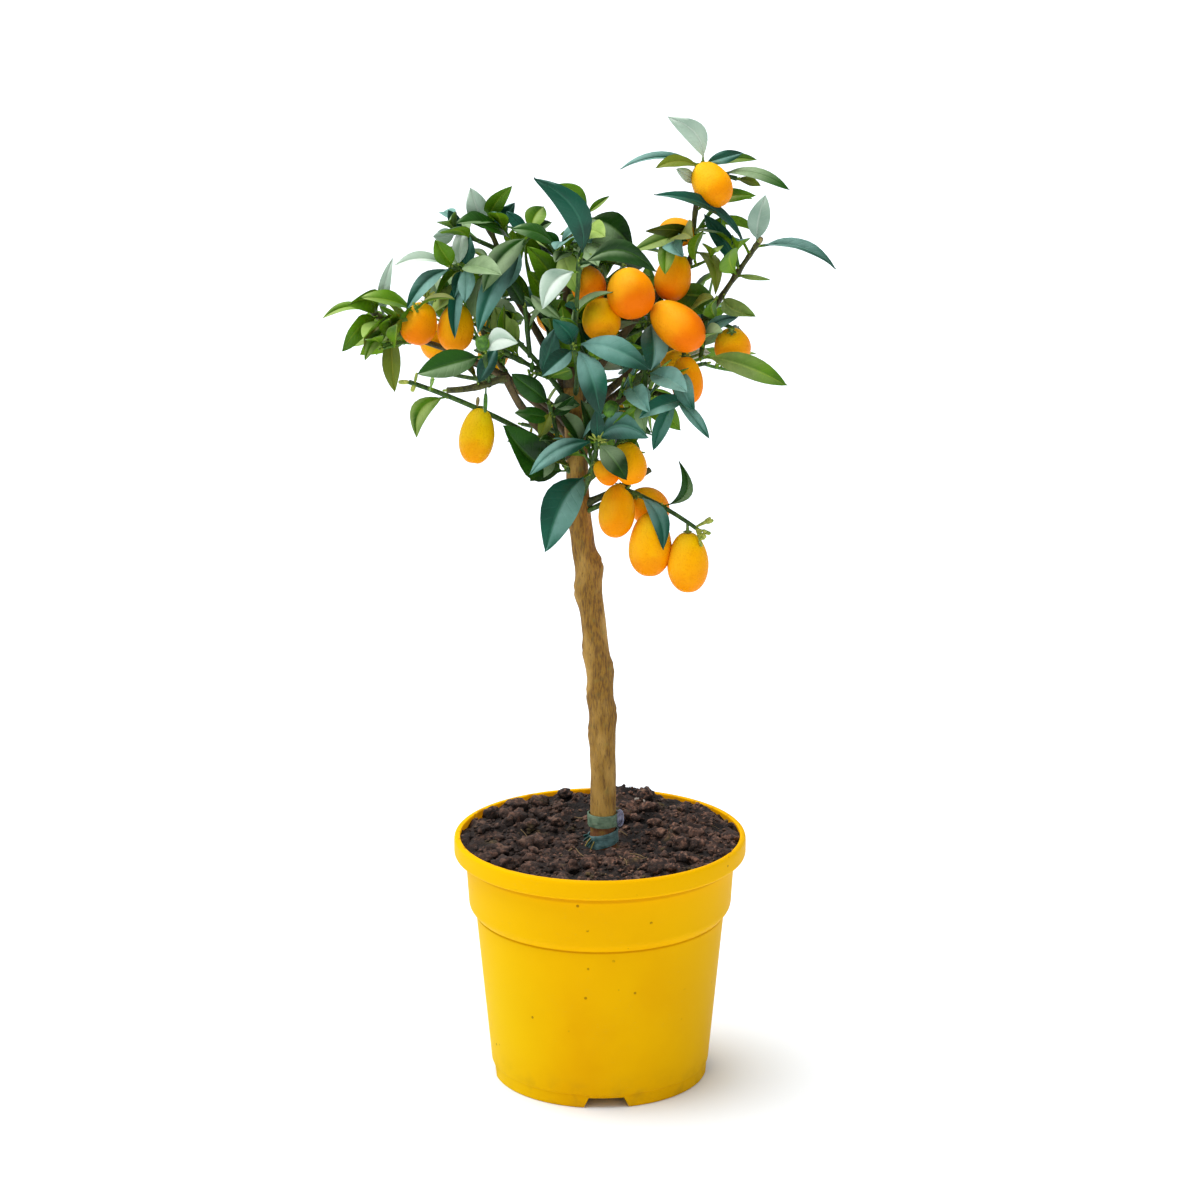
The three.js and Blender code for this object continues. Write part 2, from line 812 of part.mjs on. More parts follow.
// The knot: a loose loop of tape that stands out at the side of the upper band.
function tapeKnot() {
  const loop = new THREE.TorusGeometry(KNOT_RADIUS, KNOT_THICKNESS, 5, 12);
  loop.scale(0.8, 1.35, 1);
  loop.rotateX(Math.PI / 2);
  const middle = TRUNK_LEAN[0][1] + TAPE_RADIUS + TAPE_WALL + KNOT_RADIUS / 2;
  loop.translate(middle, 0, (UPPER_TAPE.low + UPPER_TAPE.high) / 2);
  return solidOf(loop);
}

const trunk = trunkSolid(0);
const trunkGuard = trunkSolid(TOUCH_GAP);

function colour(hex, roughness, metalness = 0) {
  return new THREE.MeshStandardMaterial({ color: hex, roughness, metalness });
}

const plant = new THREE.Group();
plant.name = 'potted_kumquat_tree';

function addNode(name, solid, material) {
  const mesh = new THREE.Mesh(geometryOf(solid), material);
  mesh.name = name;
  plant.add(mesh);
}

addNode('pot', potSolid(), colour(0xf2b600, 0.4));
addNode('soil', soilSolid(), colour(0x4a352b, 0.95));
addNode('trunk', trunk, colour(0x96713e, 0.85));
const upperTape = joined([tapeBand(UPPER_TAPE), tapeKnot()]).subtract(trunkGuard);
addNode('upper_graft_tape', soundBody(upperTape), colour(0x87a08c, 0.6));
addNode('lower_graft_tape', tapeBand(LOWER_TAPE), colour(0x5f8a8c, 0.6));

// Boughs start inside the trunk and are cut back to 0.3 mm clear of its bark, and of each
// other where two start close together. A guard is a limb grown by that gap.
const guards = { trunk: trunkGuard };
const boughTips = {};
for (const [name, [height, bearing, toward, length, sweep, foot, tip]] of Object.entries(BOUGHS)) {
  const start = trunkPoint(Math.min(height, TRUNK_TOP)).setZ(height);
  const path = limbPath(start, [bearing, toward, length, sweep]);
  let bough = solidOf(rod(path, taper(foot, tip), BOUGH_SIDES, BOUGH_STEPS));
  for (const guard of Object.values(guards)) bough = bough.subtract(guard);
  addNode(name, soundBody(bough), colour(0x5c4a2c, 0.85));
  const longer = limbPath(start, [bearing, toward, length + TOUCH_GAP, sweep]);
  const grown = taper(foot + TOUCH_GAP, tip + TOUCH_GAP);
  guards[name] = solidOf(rod(longer, grown, BOUGH_SIDES, BOUGH_STEPS));
  boughTips[name] = { point: path.getPoint(1), heading: path.getTangent(1), radius: tip };
}

function touches(solid, others) {
  return others.some((other) => !solid.intersect(other).isEmpty());
}

// What the photograph fixes of a mass: its stem, its twigs, its fruit and its outermost leaves.
function frameworkOf(mass) {
  const bough = boughTips[mass.bough];
  const start = bough
    ? bough.point.clone().addScaledVector(bough.heading, TOUCH_GAP)
    : trunkPoint(mass.trunk);
  const foot = bough ? bough.radius : SHOOT_RADIUS;
  const stem = limbPath(start, mass.stem);
  const paths = [stem];
  const parts = [solidOf(rod(stem, taper(foot, foot * TWIG_TIP_SHARE), 5, 4))];
  for (const [place, ...course] of mass.twigs) {
    const twig = limbPath(stem.getPoint(place), course);
    paths.push(twig);
    parts.push(solidOf(rod(twig, taper(TWIG_RADIUS, TWIG_RADIUS * TWIG_TIP_SHARE), 3, 2)));
  }
  for (const [twig, place, bearing, toward, reach, length] of mass.fruit) {
    const root = paths[twig].getPoint(place);
    parts.push(...fruitSolids(root, aim(bearing, toward), reach, length));
  }
  for (const [twig, place, bearing, toward, length, facing, width] of mass.leaves) {
    const root = paths[twig].getPoint(place);
    const turn = THREE.MathUtils.degToRad(facing);
    const normal = UP.clone().multiplyScalar(Math.cos(turn)).addScaledVector(FRONT, Math.sin(turn));
    const across = width ?? length * LEAF_WIDTH_SHARE;
    const steps = length > LONG_LEAF ? LONG_LEAF_STEPS : LEAF_STEPS;
    parts.push(leafSolid(root, aim(bearing, toward), normal, length, across, steps));
  }
  return { mass, paths, solid: joined(parts) };
}

// The rule for the rest: leaves set off in turn from the stem and each twig, a fixed turn on
// from the last, and rise from it at a drawn angle. A leaf that would leave the mass's reach,
// touch a limb or another mass, or cross a leaf of its own mass is skipped.
function fillOut(growth, others) {
  const { mass, paths } = growth;
  const draw = drawer(mass.seed);
  const middle = paths[0].getPoint(MASS_MIDDLE);
  const parts = [growth.solid];
  let wanted = mass.more;
  for (let i = 0; i < mass.more * TRIES_PER_LEAF && wanted > 0; i += 1) {
    const path = paths[i % paths.length];
    const place = 0.25 + 0.75 * draw();
    const turn = THREE.MathUtils.degToRad(i * LEAF_TURN + 40 * draw());
    const spread = THREE.MathUtils.degToRad(45 + 25 * draw());
    const length = RULE_LEAF.least + RULE_LEAF.spread * draw();
    const rise = 0.35 * (draw() - 0.35);
    const width = length * LEAF_WIDTH_SHARE;
    const along = path.getTangent(place);
    const [first, second] = squareTo(along, UP);
    const out = first.multiplyScalar(Math.cos(turn)).addScaledVector(second, Math.sin(turn));
    const direction = along.multiplyScalar(Math.cos(spread)).addScaledVector(out, Math.sin(spread));
    direction.z += rise;
    direction.normalize();
    const root = path.getPoint(place);
    const tip = root.clone().addScaledVector(direction, length);
    if (tip.distanceTo(middle) > mass.reach) continue;
    const outward = root.clone().sub(middle).normalize();
    const normal = UP.clone().addScaledVector(outward, 0.7).addScaledVector(out, 0.2);
    const shape = [direction, normal];
    const guard = leafSolid(root, ...shape, length * 1.03, width * 1.15, LEAF_STEPS);
    const freeRoot = root.clone().addScaledVector(direction, length * FREE_FROM);
    const free = leafSolid(freeRoot, ...shape, length * (1 - FREE_FROM), width, LEAF_STEPS);
    if (touches(guard, others) || touches(free, parts)) continue;
    parts.push(leafSolid(root, ...shape, length, width, LEAF_STEPS));
    wanted -= 1;
  }
  growth.solid = joined(parts);
}

const growths = MASSES.map(frameworkOf);
for (const growth of growths) {
  const { bough } = growth.mass;
  const limbGuards = Object.keys(guards).filter((name) => name !== bough).map((name) => guards[name]);
  const otherMasses = growths.filter((other) => other !== growth).map((other) => other.solid);
  fillOut(growth, [...otherMasses, ...limbGuards]);
}
for (const { mass, solid } of growths) {
  const clear = Object.values(guards).reduce((whole, guard) => whole.subtract(guard), solid);
  addNode(mass.name, soundBody(clear), colour(0x3f6f5c, 0.5));
}

export default plant;
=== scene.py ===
import math

import bmesh
import bpy
import numpy as np
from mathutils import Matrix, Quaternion, Vector, noise
from mathutils.bvhtree import BVHTree


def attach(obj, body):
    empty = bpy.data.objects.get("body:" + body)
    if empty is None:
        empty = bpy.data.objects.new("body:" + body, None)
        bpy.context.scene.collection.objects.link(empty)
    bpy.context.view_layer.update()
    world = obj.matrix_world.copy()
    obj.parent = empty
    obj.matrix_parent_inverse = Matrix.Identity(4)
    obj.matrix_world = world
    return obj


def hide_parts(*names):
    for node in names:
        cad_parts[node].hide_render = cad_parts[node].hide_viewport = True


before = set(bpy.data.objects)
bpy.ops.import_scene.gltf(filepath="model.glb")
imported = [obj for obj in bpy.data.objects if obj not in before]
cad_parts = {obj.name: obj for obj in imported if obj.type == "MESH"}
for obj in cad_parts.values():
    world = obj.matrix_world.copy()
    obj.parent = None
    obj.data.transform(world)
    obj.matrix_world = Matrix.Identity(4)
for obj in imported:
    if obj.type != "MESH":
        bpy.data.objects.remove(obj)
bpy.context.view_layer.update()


# The stage: the plant stands on a seamless white sheet in soft, even daylight. The camera looks
# down on it a little from in front, far enough away that the pot's sides hardly draw together.
CAMERA_PLACE = (0, -2.5, 1.033)
CAMERA_DIP = 15.54
CAMERA_LENS = 115.5
SHEET_HALF = 40
SHEET_SHADE = (0.9, 0.95, 1.0)
DAYLIGHT = (0.97, 0.985, 1.0)
DAYLIGHT_STRENGTH = 0.54
SUN_STRENGTH = 3.5
SUN_SOFTNESS = 60
SUN_TURN = (18, 0, -102)


def stand(name, data):
    """A new object that holds a camera, a lamp or a mesh, put into the scene."""
    made = bpy.data.objects.new(name, data)
    bpy.context.collection.objects.link(made)
    return made


camera_data = bpy.data.cameras.new("camera")
camera_data.lens = CAMERA_LENS
camera = stand("camera", camera_data)
camera.location = CAMERA_PLACE
camera.rotation_euler = (math.radians(90 - CAMERA_DIP), 0, 0)
bpy.context.scene.camera = camera

world = bpy.data.worlds.new("daylight")
world.use_nodes = True
sky = world.node_tree.nodes["Background"].inputs
sky["Color"].default_value = (*DAYLIGHT, 1)
sky["Strength"].default_value = DAYLIGHT_STRENGTH
bpy.context.scene.world = world
bpy.context.scene.view_settings.view_transform = "Standard"

sun_data = bpy.data.lights.new("sun", "SUN")
sun_data.energy = SUN_STRENGTH
sun_data.angle = math.radians(SUN_SOFTNESS)
sun = stand("sun", sun_data)
sun.rotation_euler = [math.radians(turn) for turn in SUN_TURN]

sheet_mesh = bpy.data.meshes.new("paper_sheet")
corners = [(x * SHEET_HALF, y * SHEET_HALF, 0) for x, y in ((-1, -1), (1, -1), (1, 1), (-1, 1))]
sheet_mesh.from_pydata(corners, [], [(0, 1, 2, 3)])
sheet = stand("paper_sheet", sheet_mesh)
sheet_paper = bpy.data.materials.new("sheet_paper")
sheet_paper.use_nodes = True
paper = sheet_paper.node_tree.nodes["Principled BSDF"].inputs
paper["Base Color"].default_value = (*SHEET_SHADE, 1)
paper["Roughness"].default_value = 1
paper["Specular IOR Level"].default_value = 0
sheet_mesh.materials.append(sheet_paper)


# The pot: a thin nursery pot, injection-moulded in yellow plastic, with a rolled rim, a wider band
# under it and a notched foot ring. Its floor stands clear of the ground and has eight drain holes.
POT_SIDES = 144
POT_WALL = 1.8
RIM_RADIUS, RIM_FOOT, POT_HEIGHT, LIP_WIDTH = 100, 159, 172, 4.4
BAND_RADIUS, BAND_FOOT_RADIUS, BAND_FOOT = 92.2, 90, 122.5
BODY_TOP_RADIUS, BODY_TOP, GROOVE = 85.3, 117.5, 0.8
FOOT_RADIUS, FOOT_STEP, FOOT_RING_HEIGHT, FOOT_RING_WALL = 74, 0.7, 10, 5
FLOOR_HEIGHT, CENTRE_DISC_RADIUS = 8, 24
NOTCH_COUNT, NOTCH_HEIGHT, NOTCH_TOP_WIDTH, NOTCH_FOOT_WIDTH, NOTCH_TURN = 4, 7.5, 24, 32, 3.4
DRAIN_HOLE_COUNT, DRAIN_CIRCLE_RADIUS, DRAIN_HOLE_RADIUS = 8, 46, 6
MOULD_EASE, LIP_EASE, INNER_LIP_EASE, FOOT_EASE = 0.9, 3.2, 1.4, 1.6
CUT_DEPTH = 3
# In metres: the wall that shows above the soil, and where shade is painted in the creases under the
# rim and the band.
WALL_EDGE, WALL_SHOWN = (0.0968, 0.0978), (0.1605, 0.162)
RIM_SHADE_LINE, BAND_SHADE_LINE = 0.1555, 0.1168
YELLOW, CLOUD_YELLOW, PAINTED_LIT_YELLOW, PAINTED_SHADE_YELLOW, PAINTED_TOP_LIGHT_YELLOW = (
    "e2a500", "e9b000", "e6be00", "dfad00", "f2b600"
)
PAINTED_CREASE_SHADE, SCUFF, FOOT_DUST, SMEAR, SPECK, PAINTED_WALL_GLOW = (
    "b87400", "e0b040", "986c22", "54361a", "7c4a0a", "e89000"
)


class Value:
    """A value inside a finish: arithmetic on it adds Math nodes."""

    def __init__(self, finish, socket):
        self.finish = finish
        self.socket = socket

    def maths(self, operation, *values):
        settings = {"operation": operation}
        return self.finish.node("ShaderNodeMath", settings, dict(enumerate(values)))

    def __add__(self, other):
        return self.maths("ADD", self, other)

    def __sub__(self, other):
        return self.maths("SUBTRACT", self, other)

    def __rsub__(self, other):
        return self.maths("SUBTRACT", other, self)

    def __mul__(self, other):
        return self.maths("MULTIPLY", self, other)

    def __abs__(self):
        return self.maths("ABSOLUTE", self)

    __radd__ = __add__
    __rmul__ = __mul__


class Finish:
    """A surface finish: node() adds any node, and coat() plugs values into its shader."""

    def __init__(self, name):
        self.material = bpy.data.materials.new(name)
        self.material.use_nodes = True
        self.tree = self.material.node_tree
        self.shader = self.tree.nodes["Principled BSDF"]
        self.place = self.node("ShaderNodeTexCoord", output="Object")

    def node(self, kind, settings=None, values=None, output=0):
        made = self.tree.nodes.new(kind)
        for key, setting in (settings or {}).items():
            setattr(made, key, setting)
        live = [socket for socket in made.inputs if socket.enabled]
        for key, value in (values or {}).items():
            by_name = [socket for socket in live if socket.name == key]
            self.join(by_name[0] if by_name else live[key], value)
        out = [socket for socket in made.outputs if socket.enabled]
        by_name = [socket for socket in out if socket.name == output]
        return Value(self, by_name[0] if by_name else out[output])

    def join(self, socket, value):
        if isinstance(value, Value):
            self.tree.links.new(value.socket, socket)
        elif socket.type == "RGBA":
            socket.default_value = (*value, 1)
        else:
            socket.default_value = value

    def grain(self, size, stretch=(1, 1, 1), detail=3):
        """Soft noise with features of about "size" millimetres, drawn out along an axis."""
        scale = tuple(1000 / size / part for part in stretch)
        spread = self.vector("MULTIPLY", self.place, scale)
        values = {"Vector": spread, "Scale": 1, "Detail": detail}
        return self.node("ShaderNodeTexNoise", None, values)

    def step(self, value, low, high):
        """0 below low, 1 above high, and a smooth climb between."""
        settings = {"interpolation_type": "SMOOTHSTEP"}
        return self.node("ShaderNodeMapRange", settings, {0: value, 1: low, 2: high})

    def vector(self, operation, *values, output=0):
        settings = {"operation": operation}
        return self.node("ShaderNodeVectorMath", settings, dict(enumerate(values)), output)

    def part(self, axis, vector=None):
        """One coordinate of a vector, or else of the place on the piece, in metres."""
        return self.node("ShaderNodeSeparateXYZ", None, {0: vector or self.place}, axis)

    def line(self, axis):
        """What the mesh says of its points, such as how far along a leaf each one lies."""
        return self.part(axis, self.node("ShaderNodeUVMap", {"uv_map": "lines"}))

    def facing(self, *way):
        """How squarely the surface faces a direction, from 1 to -1 where it faces away."""
        normal = self.node("ShaderNodeNewGeometry", output="Normal")
        return self.vector("DOT_PRODUCT", normal, way, output="Value")

    def mix(self, mask, first, second):
        settings = {"data_type": "RGBA"}
        return self.node("ShaderNodeMix", settings, {"Factor": mask, "A": first, "B": second})

    def blend(self, mask, first, second):
        """Two colours, given by their codes, mixed by a mask."""
        return self.mix(mask, dye(first), dye(second))

    def tint(self, shade, mask, code):
        """A shade with another colour laid over it where the mask is."""
        return self.mix(mask, shade, dye(code))

    def coat(self, relief=None, depth=0.1, **values):
        """Sets the shader's sockets, and bends its normal by a relief "depth" millimetres deep."""
        for key, value in values.items():
            self.join(self.shader.inputs[key.replace("_", " ")], value)
        if relief is not None:
            bump = self.node("ShaderNodeBump", None, {"Height": relief, "Distance": depth / 1000})
            self.join(self.shader.inputs["Normal"], bump)
        return self.material


def dye(code):
    """A colour given as its six hexadecimal digits, as the amounts of light a shader takes."""
    parts = [int(code[i : i + 2], 16) / 255 for i in (0, 2, 4)]
    return tuple(p / 12.92 if p < 0.04045 else ((p + 0.055) / 1.055) ** 2.4 for p in parts)


class Stock:
    """Parts of one kind, gathered as arrays of millimetres and joined into one mesh."""

    def __init__(self):
        self.points, self.faces, self.slots, self.lines = [], [], [], []
        self.count = 0

    def add(self, points, faces, slot=0, lines=None):
        """Faces is one array or several; slot is one number, or one array for each of those."""
        faces = faces if isinstance(faces, list) else [faces]
        slots = slot if isinstance(slot, list) else [slot] * len(faces)
        for group, group_slot in zip(faces, slots):
            self.faces.append(np.asarray(group) + self.count)
            self.slots.append(np.broadcast_to(group_slot, len(group)))
        self.points.append(points)
        self.lines.append(np.zeros((len(points), 2)) if lines is None else lines)
        self.count += len(points)

    def piece(self, name, finishes, crease=40):
        """The joined mesh as an object, smooth except along edges that bend more than "crease"."""
        mesh = bpy.data.meshes.new(name)
        corners = np.concatenate([group.ravel() for group in self.faces]).astype(np.int32)
        sizes = np.concatenate([np.full(len(group), group.shape[1]) for group in self.faces])
        mesh.vertices.add(self.count)
        mesh.vertices.foreach_set("co", (np.concatenate(self.points) / 1000).ravel())
        mesh.loops.add(len(corners))
        mesh.loops.foreach_set("vertex_index", corners)
        mesh.polygons.add(len(sizes))
        mesh.polygons.foreach_set("loop_start", np.cumsum(sizes) - sizes)
        mesh.polygons.foreach_set("material_index", np.concatenate(self.slots))
        mesh.update(calc_edges=True)
        layer = mesh.uv_layers.new(name="lines")
        lines = np.concatenate(self.lines)[corners]
        layer.uv.foreach_set("vector", lines.astype(np.float32).ravel())
        mesh.validate()
        mesh.shade_smooth()
        mesh.set_sharp_from_angle(angle=math.radians(crease))
        for finish in finishes:
            mesh.materials.append(finish)
        return stand(name, mesh)


def loft(rings, start, end):
    """A closed skin through rings of points, drawn to one point at each end."""
    count, sides = rings.shape[:2]
    points = np.concatenate([rings.reshape(-1, 3), [start], [end]])
    row = np.arange(sides)
    beside = (row + 1) % sides
    base = np.arange(count - 1)[:, None] * sides
    quads = np.stack([base + row, base + beside, base + sides + beside, base + sides + row], -1)
    first = np.full(sides, count * sides)
    last = (count - 1) * sides
    caps = np.concatenate([
        np.stack([first, beside, row], -1),
        np.stack([first + 1, last + row, last + beside], -1),
    ])
    return points, [quads.reshape(-1, 4), caps]


def eased(corners):
    """A profile of (radius, height, ease) corners, each rounded over its ease."""
    line = []
    for i, (radius, height, ease) in enumerate(corners):
        corner = np.array([radius, height], float)
        if not ease:
            line.append(corner)
            continue
        before = np.array(corners[i - 1][:2]) - corner
        after = np.array(corners[i + 1][:2]) - corner
        start = corner + before * min(0.45, ease / np.linalg.norm(before))
        end = corner + after * min(0.45, ease / np.linalg.norm(after))
        for t in np.linspace(0, 1, 5):
            line.append(start * (1 - t) ** 2 + corner * 2 * t * (1 - t) + end * t * t)
    return np.array(line)


def turned(profile, sides):
    """A profile turned round the upright axis. Its first and last points lie on the axis."""
    around = np.linspace(0, 2 * math.pi, sides, endpoint=False)
    inner = profile[1:-1]
    rings = np.stack([
        inner[:, 0, None] * np.cos(around),
        inner[:, 0, None] * np.sin(around),
        np.broadcast_to(inner[:, 1, None], (len(inner), sides)),
    ], -1)
    return loft(rings, (0, 0, profile[0][1]), (0, 0, profile[-1][1]))


def pot_side(inset, ease):
    """The pot's side from the rim's underside down, or the same line further in."""
    return [
        (RIM_RADIUS - inset, RIM_FOOT + inset, 2.5 * ease),
        (BAND_RADIUS - inset, RIM_FOOT - 2 + inset, ease),
        (BAND_FOOT_RADIUS - inset, BAND_FOOT, 3 * ease),
        (BODY_TOP_RADIUS + 0.6 * ease - inset, BODY_TOP, 0.3 * ease),
        (BODY_TOP_RADIUS - GROOVE * ease - inset, BODY_TOP - 0.5, 0.3 * ease),
        (BODY_TOP_RADIUS - inset, BODY_TOP - 1.6, 0.5 * ease),
    ]


under_floor = FLOOR_HEIGHT - POT_WALL
pot_profile = eased([
    (0, 0, 0),
    (CENTRE_DISC_RADIUS, 0, MOULD_EASE),
    (CENTRE_DISC_RADIUS + POT_WALL, under_floor, MOULD_EASE),
    (FOOT_RADIUS - FOOT_RING_WALL - POT_WALL, under_floor, MOULD_EASE),
    (FOOT_RADIUS - FOOT_RING_WALL, 0, MOULD_EASE),
    (FOOT_RADIUS, 0, FOOT_EASE),
    (FOOT_RADIUS + FOOT_STEP * 0.4, FOOT_RING_HEIGHT - 0.6, 0.25),
    (FOOT_RADIUS + FOOT_STEP + 0.5, FOOT_RING_HEIGHT, 0.4),
    *reversed(pot_side(0, MOULD_EASE)),
    (RIM_RADIUS, POT_HEIGHT, LIP_EASE),
    (RIM_RADIUS - LIP_WIDTH, POT_HEIGHT, INNER_LIP_EASE),
    *pot_side(POT_WALL, 0),
    (FOOT_RADIUS - POT_WALL, FLOOR_HEIGHT, FOOT_EASE),
    (0, FLOOR_HEIGHT, 0),
])
pot_stock = Stock()
pot_stock.add(*turned(pot_profile, POT_SIDES))
pot = pot_stock.piece("pot_shell", [])


def prism(outline, low, high, place):
    """A closed block: an outline of (along, up) points, pushed from low to high by "place"."""
    near = [place(low, *corner) for corner in outline]
    far = [place(high, *corner) for corner in outline]
    rings = np.array([near, far])
    return loft(rings, rings[0].mean(0), rings[1].mean(0))


cutters = Stock()
notch_outline = [
    (-NOTCH_FOOT_WIDTH / 2, -1),
    (NOTCH_FOOT_WIDTH / 2, -1),
    (NOTCH_TOP_WIDTH / 2, NOTCH_HEIGHT),
    (-NOTCH_TOP_WIDTH / 2, NOTCH_HEIGHT),
]
for i in range(NOTCH_COUNT):
    bearing = math.radians(NOTCH_TURN - 90 + i * 360 / NOTCH_COUNT)

    def on_foot(out, along, up, c=math.cos(bearing), s=math.sin(bearing)):
        return (out * c - along * s, out * s + along * c, up)

    cutters.add(*prism(notch_outline, FOOT_RADIUS - 2 * FOOT_RING_WALL, FOOT_RADIUS + 5, on_foot))
for i in range(DRAIN_HOLE_COUNT):
    bearing = 2 * math.pi * i / DRAIN_HOLE_COUNT
    turns = np.linspace(0, 2 * math.pi, 28, endpoint=False)
    xs = DRAIN_CIRCLE_RADIUS * math.cos(bearing) + DRAIN_HOLE_RADIUS * np.cos(turns)
    ys = DRAIN_CIRCLE_RADIUS * math.sin(bearing) + DRAIN_HOLE_RADIUS * np.sin(turns)
    reach = CUT_DEPTH, FLOOR_HEIGHT + CUT_DEPTH
    cutters.add(*prism(list(zip(xs, ys)), *reach, lambda up, x, y: (x, y, up)))
cutter = cutters.piece("pot_cutter", [])
cut = pot.modifiers.new("openings", "BOOLEAN")
cut.object = cutter
cut.solver = "EXACT"
cut_pot = pot.evaluated_get(bpy.context.evaluated_depsgraph_get())
pot_mesh = bpy.data.meshes.new_from_object(cut_pot)
pot.modifiers.clear()
pot.data = pot_mesh
bpy.data.objects.remove(cutter)
pot_mesh.shade_smooth()
pot_mesh.set_sharp_from_angle(angle=math.radians(38))

plastic = Finish("yellow_plastic")
height, aside = plastic.part("Z"), plastic.part("X")
level = plastic.vector("MULTIPLY", plastic.place, (1, 1, 0))
across = plastic.vector("LENGTH", level, output="Value")
cloudy = plastic.grain(55)
scuffs = plastic.step(plastic.grain(3, (1, 1, 0.25), 5), 0.6, 0.72)
scuffs = scuffs * plastic.step(plastic.grain(24), 0.45, 0.65)
speck_field = plastic.node("ShaderNodeTexVoronoi", None, {"Vector": plastic.place, "Scale": 95})
specks = (1 - plastic.step(speck_field, 0.07, 0.13)) * plastic.step(plastic.grain(16), 0.56, 0.62)
inside = (1 - plastic.step(across, *WALL_EDGE)) * plastic.step(height, *WALL_SHOWN)
smears = inside * plastic.step(plastic.grain(9, detail=5), 0.5, 0.68)
foot_dust = plastic.step(plastic.grain(14, detail=5), 0.42, 0.75)
foot_dust = (1 - plastic.step(height, 0.0, 0.03)) * foot_dust
# Painted shade: dark lines in the creases under the rim and at the foot of the band.
shade_under_rim = 1 - plastic.step(abs(height - RIM_SHADE_LINE), 0.0006, 0.0024)
shade_under_band = 1 - plastic.step(abs(height - BAND_SHADE_LINE), 0.0003, 0.0015)
yellow = plastic.blend(plastic.step(cloudy, 0.3, 0.7), YELLOW, CLOUD_YELLOW)
# Painted light and shade: the left side is lighter yellow and the right side darker, as if lit from
# the left.
yellow = plastic.tint(yellow, 1 - plastic.step(aside, -0.088, -0.01), PAINTED_LIT_YELLOW)
yellow = plastic.tint(yellow, plastic.step(aside, 0.03, 0.09), PAINTED_SHADE_YELLOW)
# Painted light: the upper pot is a lighter yellow.
yellow = plastic.tint(yellow, plastic.step(height, 0.05, 0.17) * 0.7, PAINTED_TOP_LIGHT_YELLOW)
yellow = plastic.tint(yellow, shade_under_rim * 0.45 + shade_under_band * 0.35, PAINTED_CREASE_SHADE)
yellow = plastic.tint(yellow, scuffs * 0.35, SCUFF)
yellow = plastic.tint(yellow, foot_dust * 0.35, FOOT_DUST)
yellow = plastic.tint(yellow, smears * 0.7, SMEAR)
yellow = plastic.tint(yellow, specks * 0.7, SPECK)
plastic.coat(
    relief=plastic.grain(0.9, detail=2) * 0.35 + plastic.grain(22, (1, 1, 0.3)),
    depth=0.12,
    Base_Color=yellow,
    Roughness=0.42 + 0.14 * cloudy + 0.2 * scuffs + 0.2 * foot_dust,
    Specular_IOR_Level=0.02,
    # Painted light: the inner wall that shows above the soil glows orange, standing in for light
    # shining through the plastic.
    Emission_Color=plastic.blend(inside, "000000", PAINTED_WALL_GLOW),
    Emission_Strength=0.3,
)
pot_mesh.materials.clear()
pot_mesh.materials.append(plastic.material)
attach(pot, "root")
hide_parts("pot")


# The potting mix: dark, crumbly peat and bark that fills the pot to a finger under its rim. It is
# pressed flat round the trunk, heaped a little behind it, and strewn with clods, straw and chips.
SOIL_LEVEL, SOIL_FLOOR, SOIL_EDGE_DROP, SOIL_EDGE_WIDTH = 163, 8.3, 1.5, 7
SOIL_TOP_RADIUS = 97
SOIL_RINGS, SOIL_SIDES = 100, 300
SOIL_FLAT_RADIUS = 13
SOIL_LUMPS = [(24, 2.8), (11, 4.2), (5.5, 2.6), (2.4, 1.1)]
BANK_RISE, BANK_START, BANK_WIDTH = 5.2, 16, 45
BANK_BACK_RISE, BANK_RIGHT_RISE = 2.4, 1.2
HEAP_X, HEAP_Y, HEAP_RADIUS, HEAP_HEIGHT = 18, 76, 13, 11
TRUNK_FOOT_X = 2
STREWN_RADIUS, CLOD_RAGGEDNESS, CLOD_RISE, BIT_BEND = 93, 0.55, 0.25, 0.03
# Big clods, clods and crumbs: how many, how round, the least size and how much it grows, how
# rare the big ones are, and how far they lie clear of the trunk.
LUMPS = [(26, 3, 5, 4, 1, 26), (230, 3, 1.6, 4.4, 3, 17), (1350, 2, 0.6, 1.3, 2, 12)]
STRAW_COUNT, STRAWS_CLEAR, STRAW_LENGTHS, STRAW_THICKNESSES = 14, 20, (4, 13), (0.2, 0.5)
# Straws and chips that show: place, bearing, length, thickness, and 1 for straw or 2 for bark.
LAID_BITS = [
    (-9, -33, 5.2, 29, 0.38, 1),
    (-24, -24, 0.6, 13, 0.6, 1),
    (28, 62, 0.9, 10, 0.9, 2),
    (31, 58, 2.1, 5, 0.7, 2),
]
PEAT, LIGHT_PEAT, CRUMB, PALE_CRUMB, MOSS = "281a15", "543d33", "8a6452", "a8826c", "6a5f24"
DAMP_PEAT, PAINTED_GAP_SHADE, SHADED_PEAT = "1c0f0b", "0c0605", "1c110d"
MIX_SEED = 5

soil_draw = np.random.default_rng(MIX_SEED)


def soil_lumps(x, y):
    """The crumble of the surface, about its level."""
    return sum(rise * noise.noise((x / size, y / size, rise)) for size, rise in SOIL_LUMPS)


def soil_height(x, y):
    """How high the mix stands at a place: it is banked towards the wall, most at the back."""
    out = math.hypot(x, y)
    edge = min(1, max(0, (out - SOIL_TOP_RADIUS + SOIL_EDGE_WIDTH) / SOIL_EDGE_WIDTH))
    free = min(1, max(0, math.hypot(x - TRUNK_FOOT_X, y) / SOIL_FLAT_RADIUS - 0.8))
    climb = min(1, max(0, (out - BANK_START) / BANK_WIDTH))
    bank = BANK_RISE + (BANK_BACK_RISE * y + BANK_RIGHT_RISE * x) / max(out, 1)
    bank = bank * climb * climb * (3 - 2 * climb)
    heap = HEAP_HEIGHT * math.exp(-((x - HEAP_X) ** 2 + (y - HEAP_Y) ** 2) / HEAP_RADIUS**2)
    return SOIL_LEVEL - SOIL_EDGE_DROP * edge**2 + free * (bank + heap + soil_lumps(x, y))


